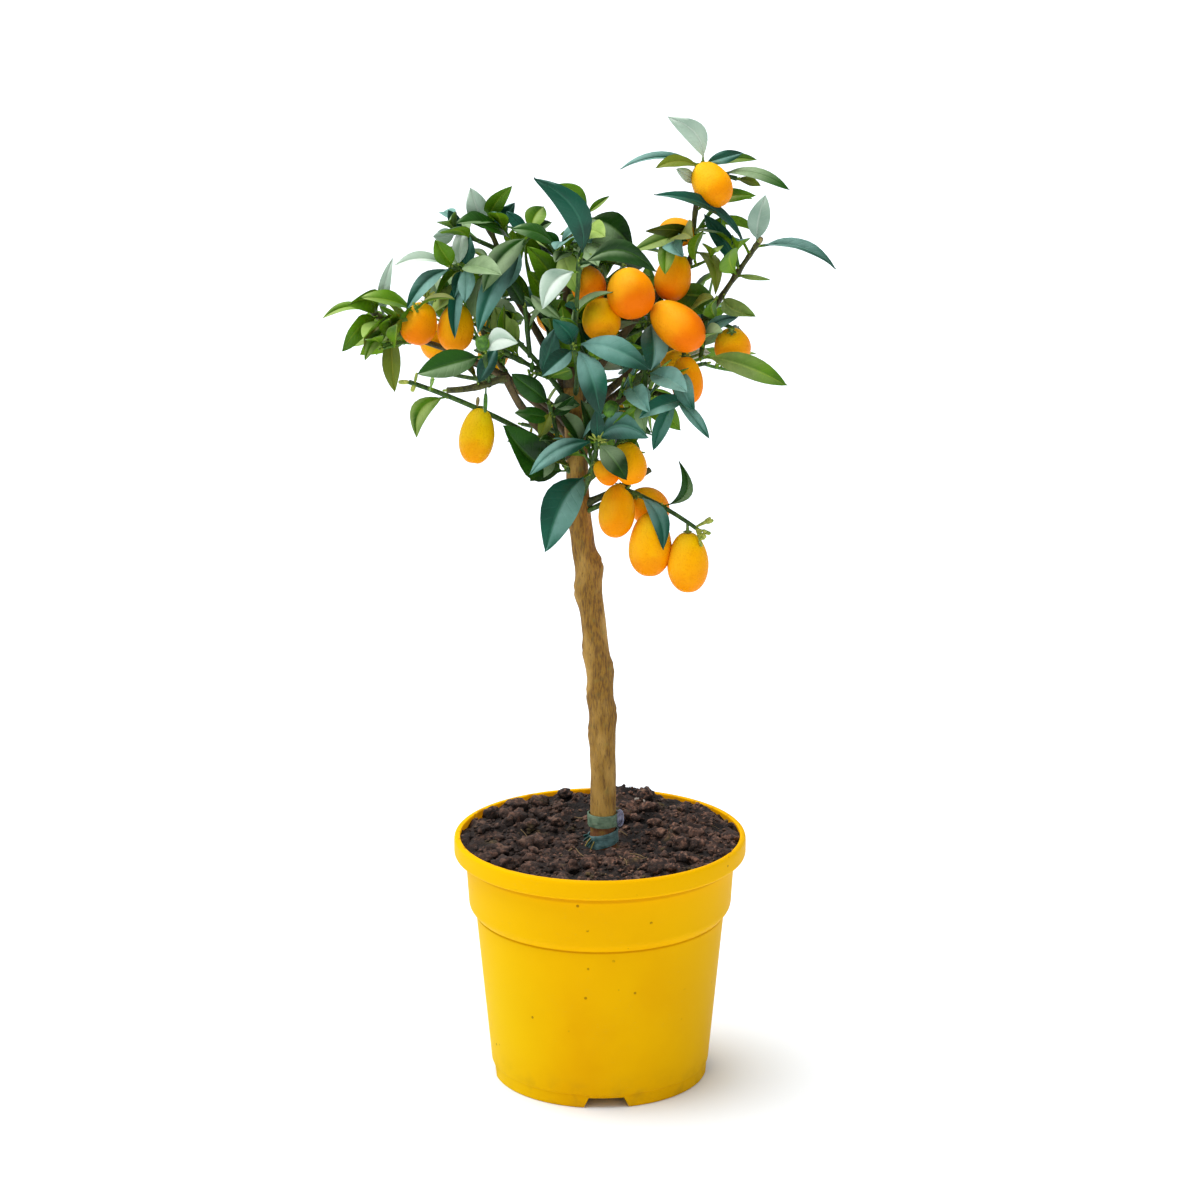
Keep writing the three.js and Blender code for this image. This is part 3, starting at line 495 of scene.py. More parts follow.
def soil_bed():
    """The whole body of mix: down its side, across the pot's floor and over the top. Each point
    carries how far it stands out of the surface, from 0 in the gaps to 1 on the crests, which sets
    how much painted shade its gaps get."""
    inset = POT_WALL + 0.3
    side = [(radius, up) for radius, up, ease in reversed(pot_side(inset, 0))]
    profile = [(0, SOIL_FLOOR), (FOOT_RADIUS - inset, SOIL_FLOOR), *side]
    outline = SOIL_TOP_RADIUS * np.linspace(1, 0, SOIL_RINGS) ** 0.8
    profile += [(radius, SOIL_LEVEL) for radius in outline]
    points, faces = turned(np.array(profile, float), SOIL_SIDES)
    crests = np.full((len(points), 2), 0.5)
    for i in np.flatnonzero(points[:, 2] > SOIL_LEVEL - 0.5):
        points[i, 2] = soil_height(points[i, 0], points[i, 1])
        crests[i] = 0.42 + soil_lumps(points[i, 0], points[i, 1]) / 8
    return points, faces, 0, crests


def ball(subdivisions):
    """The points and triangles of a ball one millimetre in radius."""
    form = bmesh.new()
    bmesh.ops.create_icosphere(form, subdivisions=subdivisions, radius=1)
    points = np.array([v.co for v in form.verts])
    faces = np.array([[v.index for v in f.verts] for f in form.faces])
    form.free()
    return points, faces


def clod(form, size, x, y):
    """A ragged lump of mix, half sunk in the surface."""
    points, faces = form
    start = soil_draw.uniform(-50, 50, 3)
    ragged = np.array([noise.noise(Vector(p * 1.6 + start)) for p in points])
    squash = soil_draw.uniform((0.75, 0.6, 0.5), (1.2, 1, 0.9))
    shape = points * (1 + CLOD_RAGGEDNESS * ragged[:, None]) * squash
    turn = Quaternion((0, 0, 1), soil_draw.uniform(0, 6.28)).to_matrix()
    shape = shape @ np.array(turn).T * size
    # How high each point stands on the clod, which sets the painted shade on its low side.
    crests = np.repeat(0.55 + 0.45 * shape[:, 2:] / size, 2, axis=1)
    return shape + (x, y, soil_height(x, y) + CLOD_RISE * size), faces, 0, crests


def strewn(least_from_trunk):
    """A place on the surface, away from the trunk and from the pot's wall."""
    while True:
        x, y = soil_draw.uniform(-STREWN_RADIUS, STREWN_RADIUS, 2)
        from_trunk = math.hypot(x - TRUNK_FOOT_X, y)
        if math.hypot(x, y) < STREWN_RADIUS and from_trunk > least_from_trunk:
            return x, y


def square_to(line, wanted):
    """The two directions square to a line, the first as near to "wanted" as it can be."""
    first = wanted - line * (line @ wanted)
    first = first / np.linalg.norm(first)
    return first, np.cross(line, first)


def headings(line):
    """Which way a line of points runs at each of them."""
    along = np.gradient(line, axis=0)
    return along / np.linalg.norm(along, axis=1)[:, None]


def tube(line, radius, sides, wanted=(0, -1, 0)):
    """A round rod along a line of points. Radius is one number for each point, or one for each
    point and side, counted from "wanted" round the rod."""
    line = np.asarray(line, float)
    along = headings(line)
    around = np.linspace(0, 2 * math.pi, sides, endpoint=False)
    radius = np.asarray(radius, float).reshape(len(line), -1)
    radius = np.broadcast_to(radius, (len(line), sides))
    pairs = np.array([square_to(heading, np.asarray(wanted, float)) for heading in along])
    first, second = pairs[:, :1], pairs[:, 1:]
    out = first * np.cos(around)[:, None] + second * np.sin(around)[:, None]
    rings = line[:, None] + out * radius[:, :, None]
    end_rise = 0.4 * radius[-1].mean()
    return loft(rings, line[0] - along[0] * 0.01, line[-1] + along[-1] * end_rise)


bed_stock = Stock()
bed_stock.add(*soil_bed())
crumb_stock = Stock()
for count, roundness, least, growth, rarity, clear in LUMPS:
    form = ball(roundness)
    for i in range(count):
        size = least + growth * soil_draw.random() ** rarity
        crumb_stock.add(*clod(form, size, *strewn(clear)))


def laid_bit(x, y, bearing, length, thickness, slot):
    """A thin bit that lies on the surface, a little bent, as straw or a root hair does."""
    bit = []
    for t in np.linspace(-0.5, 0.5, 7):
        px = x + length * t * math.cos(bearing) + BIT_BEND * length * math.cos(5 * t)
        py = y + length * t * math.sin(bearing) + BIT_BEND * length * math.sin(7 * t)
        bit.append((px, py, soil_height(px, py) + 1.2 * thickness + 0.5))
    slope = np.array(bit)
    slope[1:-1, 2] = (slope[:-2, 2] + slope[1:-1, 2] + slope[2:, 2]) / 3
    crumb_stock.add(*tube(slope, np.full(7, thickness), 6, wanted=(0, 0, 1)), slot)


for i in range(STRAW_COUNT):
    x, y = strewn(STRAWS_CLEAR)
    length, bearing = soil_draw.uniform(*STRAW_LENGTHS), soil_draw.uniform(0, 3.14)
    laid_bit(x, y, bearing, length, soil_draw.uniform(*STRAW_THICKNESSES), 1)
for bit in LAID_BITS:
    laid_bit(*bit)

peat = Finish("potting_mix")
crest, aside = peat.line("X"), peat.part("X")
rich = peat.blend(peat.step(peat.grain(14), 0.35, 0.65), PEAT, LIGHT_PEAT)
rich = peat.tint(rich, peat.step(peat.grain(2.6, detail=4), 0.46, 0.66), CRUMB)
rich = peat.tint(rich, peat.step(peat.grain(7, detail=4), 0.58, 0.72) * 0.6, PALE_CRUMB)
rich = peat.tint(rich, peat.step(peat.grain(19, detail=2), 0.6, 0.7) * 0.5, MOSS)
rich = peat.tint(rich, peat.step(peat.grain(11, detail=5), 0.5, 0.6) * 0.8, DAMP_PEAT)
# Painted shade: near black in the gaps between lumps and on the low sides of clods.
rich = peat.tint(rich, (1 - peat.step(crest, 0.28, 0.8)) * 0.95, PAINTED_GAP_SHADE)
rich = peat.tint(rich, (1 - peat.step(aside, -0.08, 0.03)) * 0.5, SHADED_PEAT)
crumbly = peat.grain(1.5, detail=6)
peat.coat(relief=crumbly, depth=1.1, Base_Color=rich, Roughness=0.82 + 0.15 * crumbly)


def bit_finish(name, dark, light, cloud_size, relief_size, depth):
    """A dry, dull bit of straw or bark, in two shades."""
    bit = Finish(name)
    shade = bit.blend(bit.grain(cloud_size), dark, light)
    relief = bit.grain(relief_size)
    bit.coat(relief=relief, depth=depth, Base_Color=shade, Roughness=0.7 + 0.2 * bit.grain(2))
    return bit.material


crumb_finishes = [
    peat.material,
    bit_finish("straw", "513d2a", "998057", 4, 0.5, 0.1),
    bit_finish("pale_chip", "998e82", "d4ccc0", 3, 0.8, 0.2),
]
soil_piece = bed_stock.piece("potting_mix", [peat.material], crease=80)
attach(soil_piece, "root")
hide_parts("soil")
crumb_piece = crumb_stock.piece("clods_and_chips", crumb_finishes, crease=80)
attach(crumb_piece, "root")
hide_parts("soil")


# The trunk and main boughs: one living frame of hard wood under thin, finely streaked bark. The
# trunk leans a little and has knobs where side shoots were cut; boughs swell where they join it.
TOUCH_GAP = 0.3
TRUNK_TOP = 489
TRUNK_LEAN = [(163.3, 2), (235, 2), (290, -1), (352, -8), (400, -14), (450, -16), (TRUNK_TOP, -18)]
TRUNK_FOOT_RADIUS, TRUNK_LOW_RADIUS, TRUNK_TOP_RADIUS = 9.8, 8.8, 7
TRUNK_TAPER, FLARE_HEIGHT = 1.6, 3
TRUNK_SIDES, TRUNK_RINGS = 72, 330
KNOB_HEIGHT, DIMPLE_DEPTH, DIMPLE_HEIGHT, DIMPLE_TURN = 6.5, 0.35, 1.8, 0.24
# Each knob: height, bearing round the trunk, how far it stands out.
TRUNK_KNOBS = [
    (259, 0, 2.1),
    (246, 180, 1.7),
    (273, 182, 1.5),
    (290, 10, 2.4),
    (304, 180, 1.9),
    (346, 180, 2.8),
    (363, 0, 3.6),
    (405, 200, 2.2),
]
SMALL_KNOBS = [
    (274, -70, 1.1),
    (318, -100, 1.2),
    (333, -40, 0.8),
    (357, -35, 1.1),
    (384, -60, 1),
    (226, -120, 0.7),
]
BARK_RELIEF, BOUGH_RELIEF, KNOB_REACH = 0.34, 0.2, 3
# Each bough: height on the trunk, bearing, toward, length, sweep, radius at the foot and the tip.
# A direction is given as it looks from the front: its bearing (0 points right and 90 up) and how
# far it leans towards the viewer. A limb sets off at its bearing plus its sweep, and curves.
BOUGHS = {
    "left_bough": (438, 128, 20, 80, 20, 3.4, 2.5),
    "far_left_bough": (458, 149, -1, 103, -10, 3.3, 2),
    "upper_left_bough": (468, 119, -11, 96, -8, 3.3, 2),
    "right_bough": (462, 37, -5, 107, 6, 3.2, 1.9),
    "top_right_bough": (472, 51, -5, 123, 8, 3.2, 1.9),
    "right_front_bough": (448, 45, 27, 67, 10, 2.5, 1.7),
    "cut_stub": (403, 31, 14, 57, -6, 2.3, 1.9),
    "back_left_bough": (446, 146, -42, 66, -10, 3.2, 2.1),
    "back_right_bough": (452, 34, -44, 70, 8, 3.2, 2.1),
    "back_top_bough": (474, 98, -42, 58, -6, 3, 2),
    "leader": (TRUNK_TOP + TOUCH_GAP, 94, -10, 79, 0, 4.2, 2.2),
}
BOUGH_SIDES, BOUGH_RINGS = 24, 44
COLLAR_SWELL, COLLAR_LENGTH = 0.55, 0.06
SCAR_STEP, SCAR_SWELL, SCAR_LENGTH = 17, 0.05, 1.6
# The bark is browner below the graft, whose height here is in metres.
GRAFT_EDGE, GRAFT_BARK = (0.176, 0.184), "7c452a"


def aim(bearing, toward):
    """A direction as it looks from the front, leaning towards the viewer."""
    turn, lean = math.radians(bearing), math.radians(toward)
    out = math.cos(lean)
    return np.array([math.cos(turn) * out, -math.sin(lean), math.sin(turn) * out])


class Limb:
    """A limb's curve: it sets off at its bearing plus its sweep and comes round to end on it.
    Its foot is its radius there, and "back" is how the wood runs that it grows from."""

    def __init__(self, start, foot, bearing, toward, length, sweep):
        self.start = np.array(start, float)
        self.middle = self.start + aim(bearing + sweep, toward) * length / 2
        self.end = self.start + aim(bearing, toward) * length
        self.length, self.foot = length, foot
        self.back = self.heading(0)

    def at(self, place):
        """The point at a place along the limb, from 0 at its foot to 1 at its tip."""
        place = np.asarray(place, float)[..., None]
        near = self.start * (1 - place) ** 2 + self.middle * 2 * place * (1 - place)
        return near + self.end * place**2

    def heading(self, place):
        """Which way the limb runs there."""
        way = (self.middle - self.start) * (1 - place) + (self.end - self.middle) * place
        return way / np.linalg.norm(way)


def trunk_at(place):
    """The trunk's axis, as a smooth curve through the places where its lean is known."""
    knots = np.array([(lean, 0, height) for height, lean in TRUNK_LEAN], float)
    knots = np.concatenate([[2 * knots[0] - knots[1]], knots, [2 * knots[-1] - knots[-2]]])
    step = min(place, 0.999999) * (len(TRUNK_LEAN) - 1)
    i = int(step)
    t = step - i
    before, here, beyond, after = knots[i : i + 4]
    rise, fall = (beyond - before) / 2, (after - here) / 2
    cubic = (2 * here - 2 * beyond + rise + fall) * t**3
    return cubic + (3 * beyond - 3 * here - 2 * rise - fall) * t**2 + rise * t + here


def trunk_point(height):
    """The place on the trunk's axis at a height."""
    low, high = 0.0, 1.0
    for i in range(30):
        middle = (low + high) / 2
        if trunk_at(middle)[2] < height:
            low = middle
        else:
            high = middle
    return trunk_at(low)


def trunk_radius(height):
    """The trunk tapers faster towards its top and flares a little at its foot."""
    climb = height - SOIL_LEVEL
    share = (climb / (TRUNK_TOP - SOIL_LEVEL)) ** TRUNK_TAPER
    radius = TRUNK_LOW_RADIUS + (TRUNK_TOP_RADIUS - TRUNK_LOW_RADIUS) * share
    return radius + (TRUNK_FOOT_RADIUS - TRUNK_LOW_RADIUS) * math.exp(-climb / FLARE_HEIGHT)


def bark_relief(around, climb, radius, depth):
    """Long shallow furrows and low swellings, in millimetres."""
    across = radius * math.cos(around), radius * math.sin(around)
    furrow = noise.noise((across[0] / 1.7, across[1] / 1.7, climb / 17))
    swell = noise.noise((across[0] / 9, across[1] / 9, climb / 13 + 40))
    fine = noise.noise((across[0] / 0.8, across[1] / 0.8, climb / 6 + 90))
    return depth * (0.55 * furrow - 0.5 * abs(furrow) + 1.3 * swell + 0.25 * fine)


def knob_rise(height, around, knob_height, bearing, stand):
    """A cut side shoot's knob: a swelling that runs down the trunk, with a dimple in its face."""
    up = (height - knob_height) / KNOB_HEIGHT
    skew = up if up > 0 else up * 0.6
    aside = math.remainder(around - math.radians(bearing), 2 * math.pi)
    facing = max(0, math.cos(aside))
    sunk = ((height - knob_height) / DIMPLE_HEIGHT) ** 2
    dimple = DIMPLE_DEPTH * math.exp(-sunk - (aside / DIMPLE_TURN) ** 2)
    return stand * (math.exp(-skew * skew) * facing**2 - dimple)


wood_stock = Stock()
trunk_places = np.linspace(0, 1, TRUNK_RINGS)
trunk_line = np.array([trunk_at(place) for place in trunk_places])
trunk_line[0, 2] = SOIL_LEVEL - 1
trunk_around = np.linspace(0, 2 * math.pi, TRUNK_SIDES, endpoint=False)
trunk_skin = np.zeros((TRUNK_RINGS, TRUNK_SIDES))
for i, centre in enumerate(trunk_line):
    height = max(centre[2], SOIL_LEVEL + 0.3)
    even = trunk_radius(height)
    narrowing = math.sqrt(max(0.05, min(1, (TRUNK_TOP + 1 - height) / 7)))
    for k, turn in enumerate(trunk_around):
        bearing = turn - math.pi / 2
        skin = even + bark_relief(bearing, height, even, BARK_RELIEF)
        for knob in TRUNK_KNOBS + SMALL_KNOBS:
            if abs(height - knob[0]) < KNOB_REACH * KNOB_HEIGHT:
                skin += knob_rise(height, bearing, *knob)
        trunk_skin[i, k] = skin * narrowing
wood_stock.add(*tube(trunk_line, trunk_skin, TRUNK_SIDES))

bough_limbs = {}
for name, (height, bearing, toward, length, sweep, foot, tip) in BOUGHS.items():
    start = trunk_point(min(height, TRUNK_TOP))
    start[2] = height
    limb = Limb(start, foot, bearing, toward, length, sweep)
    limb.tip = tip
    bough_limbs[name] = limb
    places = np.linspace(-0.06 if name == "leader" else 0, 1, BOUGH_RINGS)
    around = np.linspace(0, 2 * math.pi, BOUGH_SIDES, endpoint=False)
    inside = TRUNK_TOP_RADIUS / length
    skins = []
    for place in places:
        collar = 1 + COLLAR_SWELL * math.exp(-(max(0, place - inside) / COLLAR_LENGTH) ** 1.3)
        even = (foot + (tip - foot) * max(0, place)) * collar
        from_scar = (place * length) % SCAR_STEP - 8
        ringed = 1 + SCAR_SWELL * math.exp(-(from_scar / SCAR_LENGTH) ** 2)
        climb = place * length + height
        skins.append([
            even * ringed + bark_relief(turn, climb, even, BOUGH_RELIEF) for turn in around
        ])
    slot = 2 if name == "cut_stub" else 1
    wood_stock.add(*tube(limb.at(places), np.array(skins), BOUGH_SIDES), slot)


def bark_finish(name, dark, middle, light, moss, stretch):
    """Bark: long streaks over cloudy patches, with fine cracks and a bloom of green."""
    bark = Finish(name)
    streaks = bark.grain(0.9, stretch, 5)
    clouds = bark.grain(15, (1, 1, 2.5), 4)
    cracks = bark.step(bark.grain(0.7, stretch, 4), 0.6, 0.7)
    shade = bark.blend(bark.step(streaks, 0.35, 0.6), dark, middle)
    shade = bark.tint(shade, bark.step(clouds, 0.42, 0.66) * 0.75, light)
    shade = bark.tint(shade, bark.step(bark.grain(8, detail=4), 0.58, 0.74) * 0.4, moss)
    shade = bark.tint(shade, cracks * 0.55, dark)
    graft = 1 - bark.step(bark.part("Z"), *GRAFT_EDGE)
    graft = graft * bark.step(bark.grain(6, detail=4), 0.2, 0.5)
    shade = bark.tint(shade, graft * 0.8, GRAFT_BARK)
    bark.coat(
        relief=streaks - 0.6 * cracks + 0.3 * bark.grain(0.5),
        depth=0.5,
        Base_Color=shade,
        Roughness=0.72 + 0.2 * streaks,
    )
    return bark.material


barks = [
    bark_finish("old_bark", "69460e", "966c1c", "c4994a", "7d783a", (1, 1, 6)),
    bark_finish("bough_bark", "302714", "534423", "73603b", "3f511b", (1.6, 1.6, 3)),
    bark_finish("stub_bark", "2e3317", "435126", "5e573d", "37511f", (3, 1.6, 1.6)),
]
limbs_piece = wood_stock.piece("trunk_and_boughs", barks, crease=70)
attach(limbs_piece, "root")
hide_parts("trunk", *BOUGHS)


# The grafting tape: two turns of stretchy film, wound round the graft just over the soil and
# knotted on itself at one side. It is thin, faded, and wrinkled where it was pulled tight.
TAPE_RADIUS, TAPE_WALL = 9.6, 1.0
UPPER_TAPE = dict(low=178.5, high=187, tilt=0)
LOWER_TAPE = dict(low=164.2, high=173.6, tilt=13)
TAPE_SIDES = 96
KNOT_RADIUS, KNOT_THICKNESS, KNOT_BREADTH = 3.4, 1.1, 5
LOOP_OUT, LOOP_RISE, LOOP_SWAY = 0.62 * KNOT_RADIUS, 1.35 * KNOT_RADIUS, 0.8
STRIP_COUNT, STRIP_ROOT_RADIUS, STRIP_TOP = 5, 10.4, 171.5
YELLOWED_STRIPS = (2, 4)


def tape_band(low, high, tilt, phase):
    """A wound band with wrinkles: out along its lower edge, up its face and in at the top."""
    section = [(-0.9, 0), (-0.1, 0), (0, 0.06), (0.05, 0.3), (-0.12, 0.36), (-0.1, 0.62)]
    section += [(0.02, 0.68), (0.04, 0.93), (-0.1, 1), (-0.9, 1)]
    slope = math.tan(math.radians(tilt))
    rings = []
    for turn in np.linspace(0, 2 * math.pi, TAPE_SIDES, endpoint=False):
        ring = []
        for out, up in section:
            wrinkle = 0.16 * math.sin(9 * turn + 5 * up + phase)
            wrinkle += 0.1 * math.sin(23 * turn + 9 * up)
            skew = up + 0.14 * math.sin(turn + phase) * (0.3 < up < 0.7)
            radius = TAPE_RADIUS + TAPE_WALL * (1 + out) + wrinkle * (out > -0.5)
            x = radius * math.cos(turn)
            z = low + (high - low) * skew + x * slope
            ring.append((x + TRUNK_FOOT_X, radius * math.sin(turn), z))
        rings.append(ring)
    rings = np.array(rings)
    sides = len(section)
    at = np.arange(TAPE_SIDES)[:, None] * sides
    on = np.roll(np.arange(TAPE_SIDES), -1)[:, None] * sides
    row = np.arange(sides)
    beside = (row + 1) % sides
    quads = np.stack([at + row, on + row, on + beside, at + beside], -1).reshape(-1, 4)
    return rings.reshape(-1, 3), quads


def ribbon(line, breadth, thickness, across):
    """A flat strip of film along a line; "across" is the way its width lies."""
    line = np.asarray(line, float)
    along = headings(line)
    side = np.cross(np.cross(along, across), along)
    side /= np.linalg.norm(side, axis=1)[:, None]
    up = np.cross(along, side)
    corners = [(-0.5, -0.5), (0.5, -0.5), (0.5, 0.5), (0, 0.62), (-0.5, 0.5)]
    rings = [line + side * (a * breadth) + up * (b * thickness) for a, b in corners]
    return loft(np.stack(rings, 1), line[0], line[-1])


tape_stock = Stock()
tape_stock.add(*tape_band(**UPPER_TAPE, phase=0.4), 0)
tape_stock.add(*tape_band(**LOWER_TAPE, phase=2.1), 1)
knot_middle = np.array([
    TRUNK_FOOT_X + TAPE_RADIUS + TAPE_WALL + KNOT_RADIUS / 3,
    -1.5,
    (UPPER_TAPE["low"] + UPPER_TAPE["high"]) / 2 + 0.6,
])
loop = []
for turn in np.linspace(math.radians(-165), math.radians(175), 40):
    sway = LOOP_SWAY * math.sin(2 * turn)
    loop.append(knot_middle + (LOOP_OUT * math.cos(turn), sway, LOOP_RISE * math.sin(turn)))
tape_stock.add(*ribbon(loop, KNOT_BREADTH, KNOT_THICKNESS, (0, 1, 0)), 2)
crumple = [knot_middle + (0.25 * z - 0.6, -1.4, z) for z in (-4, -2, 0, 2, 4.4)]
tape_stock.add(*tube(crumple, [0.6, 1.9, 2.2, 1.8, 0.5], 12), 2)
for i in range(STRIP_COUNT):
    turn = math.radians(200 + 9 * i)
    root = np.array([
        TRUNK_FOOT_X + STRIP_ROOT_RADIUS * math.cos(turn),
        STRIP_ROOT_RADIUS * math.sin(turn),
        STRIP_TOP - 0.7 * i,
    ])
    way = aim(172 + 16 * i, 10 + 8 * (i % 3))
    reach = np.linspace(0, 1, 7)[:, None]
    drop = np.array([0, 0, -1]) * reach**2 * (1 + i % 3)
    curl = root + way * reach * (3.6 + 0.5 * i) + drop
    strip_slot = 4 if i in YELLOWED_STRIPS else 3
    tape_stock.add(*ribbon(curl, 2.3 - 0.2 * i, 0.5, (0.2, -0.4, 1)), strip_slot)


def film_finish(name, low, high, faded):
    """Stretched film: cloudy and dusty, with fine wrinkles round it."""
    film = Finish(name)
    dust_and_sheen = film.grain(5, detail=4)
    wrinkles = film.grain(1.1, (5, 5, 1), 3)
    shade = film.blend(film.step(dust_and_sheen, 0.35, 0.65), low, high)
    shade = film.tint(shade, film.step(wrinkles, 0.55, 0.75) * 0.5, faded)
    film.coat(relief=wrinkles, depth=0.35, Base_Color=shade, Roughness=0.42 + 0.3 * dust_and_sheen)
    return film.material


tape_finishes = [
    film_finish("faded_green_film", "56705a", "7a9478", "979f86"),
    film_finish("blue_green_film", "3e6464", "64898a", "88a6a0"),
    film_finish("lavender_film", "75768f", "9b9db4", "b7b9cc"),
    film_finish("dark_teal_film", "0e3534", "1b5350", "306a63"),
    film_finish("yellowed_film", "786a23", "a6933f", "b8a964"),
]
tape_piece = tape_stock.piece("grafting_tape", tape_finishes, crease=50)
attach(tape_piece, "root")
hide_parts("upper_graft_tape", "lower_graft_tape")


# The crown: every spray grows from one stem at a bough's tip or on the trunk. The stem bears
# twigs, fruit and leaves in the places the plant shows, then a rule fills it out: leaves follow
# each other round the stem and twigs by a fixed turn, and finer shoots grow on in between.
SHOOT_RADIUS, TWIG_RADIUS, TWIG_TIP_SHARE = 2, 1.7, 0.8
LEAF_WIDTH_SHARE, LEAF_FULLNESS, LEAF_ARCH_SHARE = 0.4, 0.85, 0.08
LEAF_TURN = 137.5
TRIES_PER_LEAF = 12
# What the rule draws, as the least and the most it adds: lengths, and degrees out from the limb.
LEAF_LENGTHS, SHOOT_LEAF_LENGTHS, SHOOT_LENGTHS = (36, 17), (28, 22), (14, 20)
LEAF_SPLAYS, SHOOT_SPLAYS = (45, 25), (30, 30)
LEAF_NEAREST, SHOOT_NEAREST, PLACE_SPREAD, TURN_SPREAD = 0.25, 0.2, 0.75, 40
LEAF_RISE, RISE_MIDDLE, OUTWARD_FACING, SIDEWAYS_FACING = 0.35, 0.35, 0.7, 0.2
GUARD_LENGTH, GUARD_WIDTH = 1.03, 1.15
MASS_MIDDLE = 0.6
FREE_FROM = 0.25
FRUIT_WIDTH_SHARE = 0.66
BOUGH_SHOOTS, SHOOT_TRIES, SHOOT_LEAVES, SHOOT_LEAF_TRIES, LEAST_SHOOT_LEAVES = 2, 14, 5, 12, 2
SHOOT_FOOT, SHOOT_MARGIN, SHOOT_RISE, SHOOT_SWEEP = 1.1, 8, 0.25, 14
UP, FRONT = np.array([0, 0, 1.0]), np.array([0, -1.0, 0])
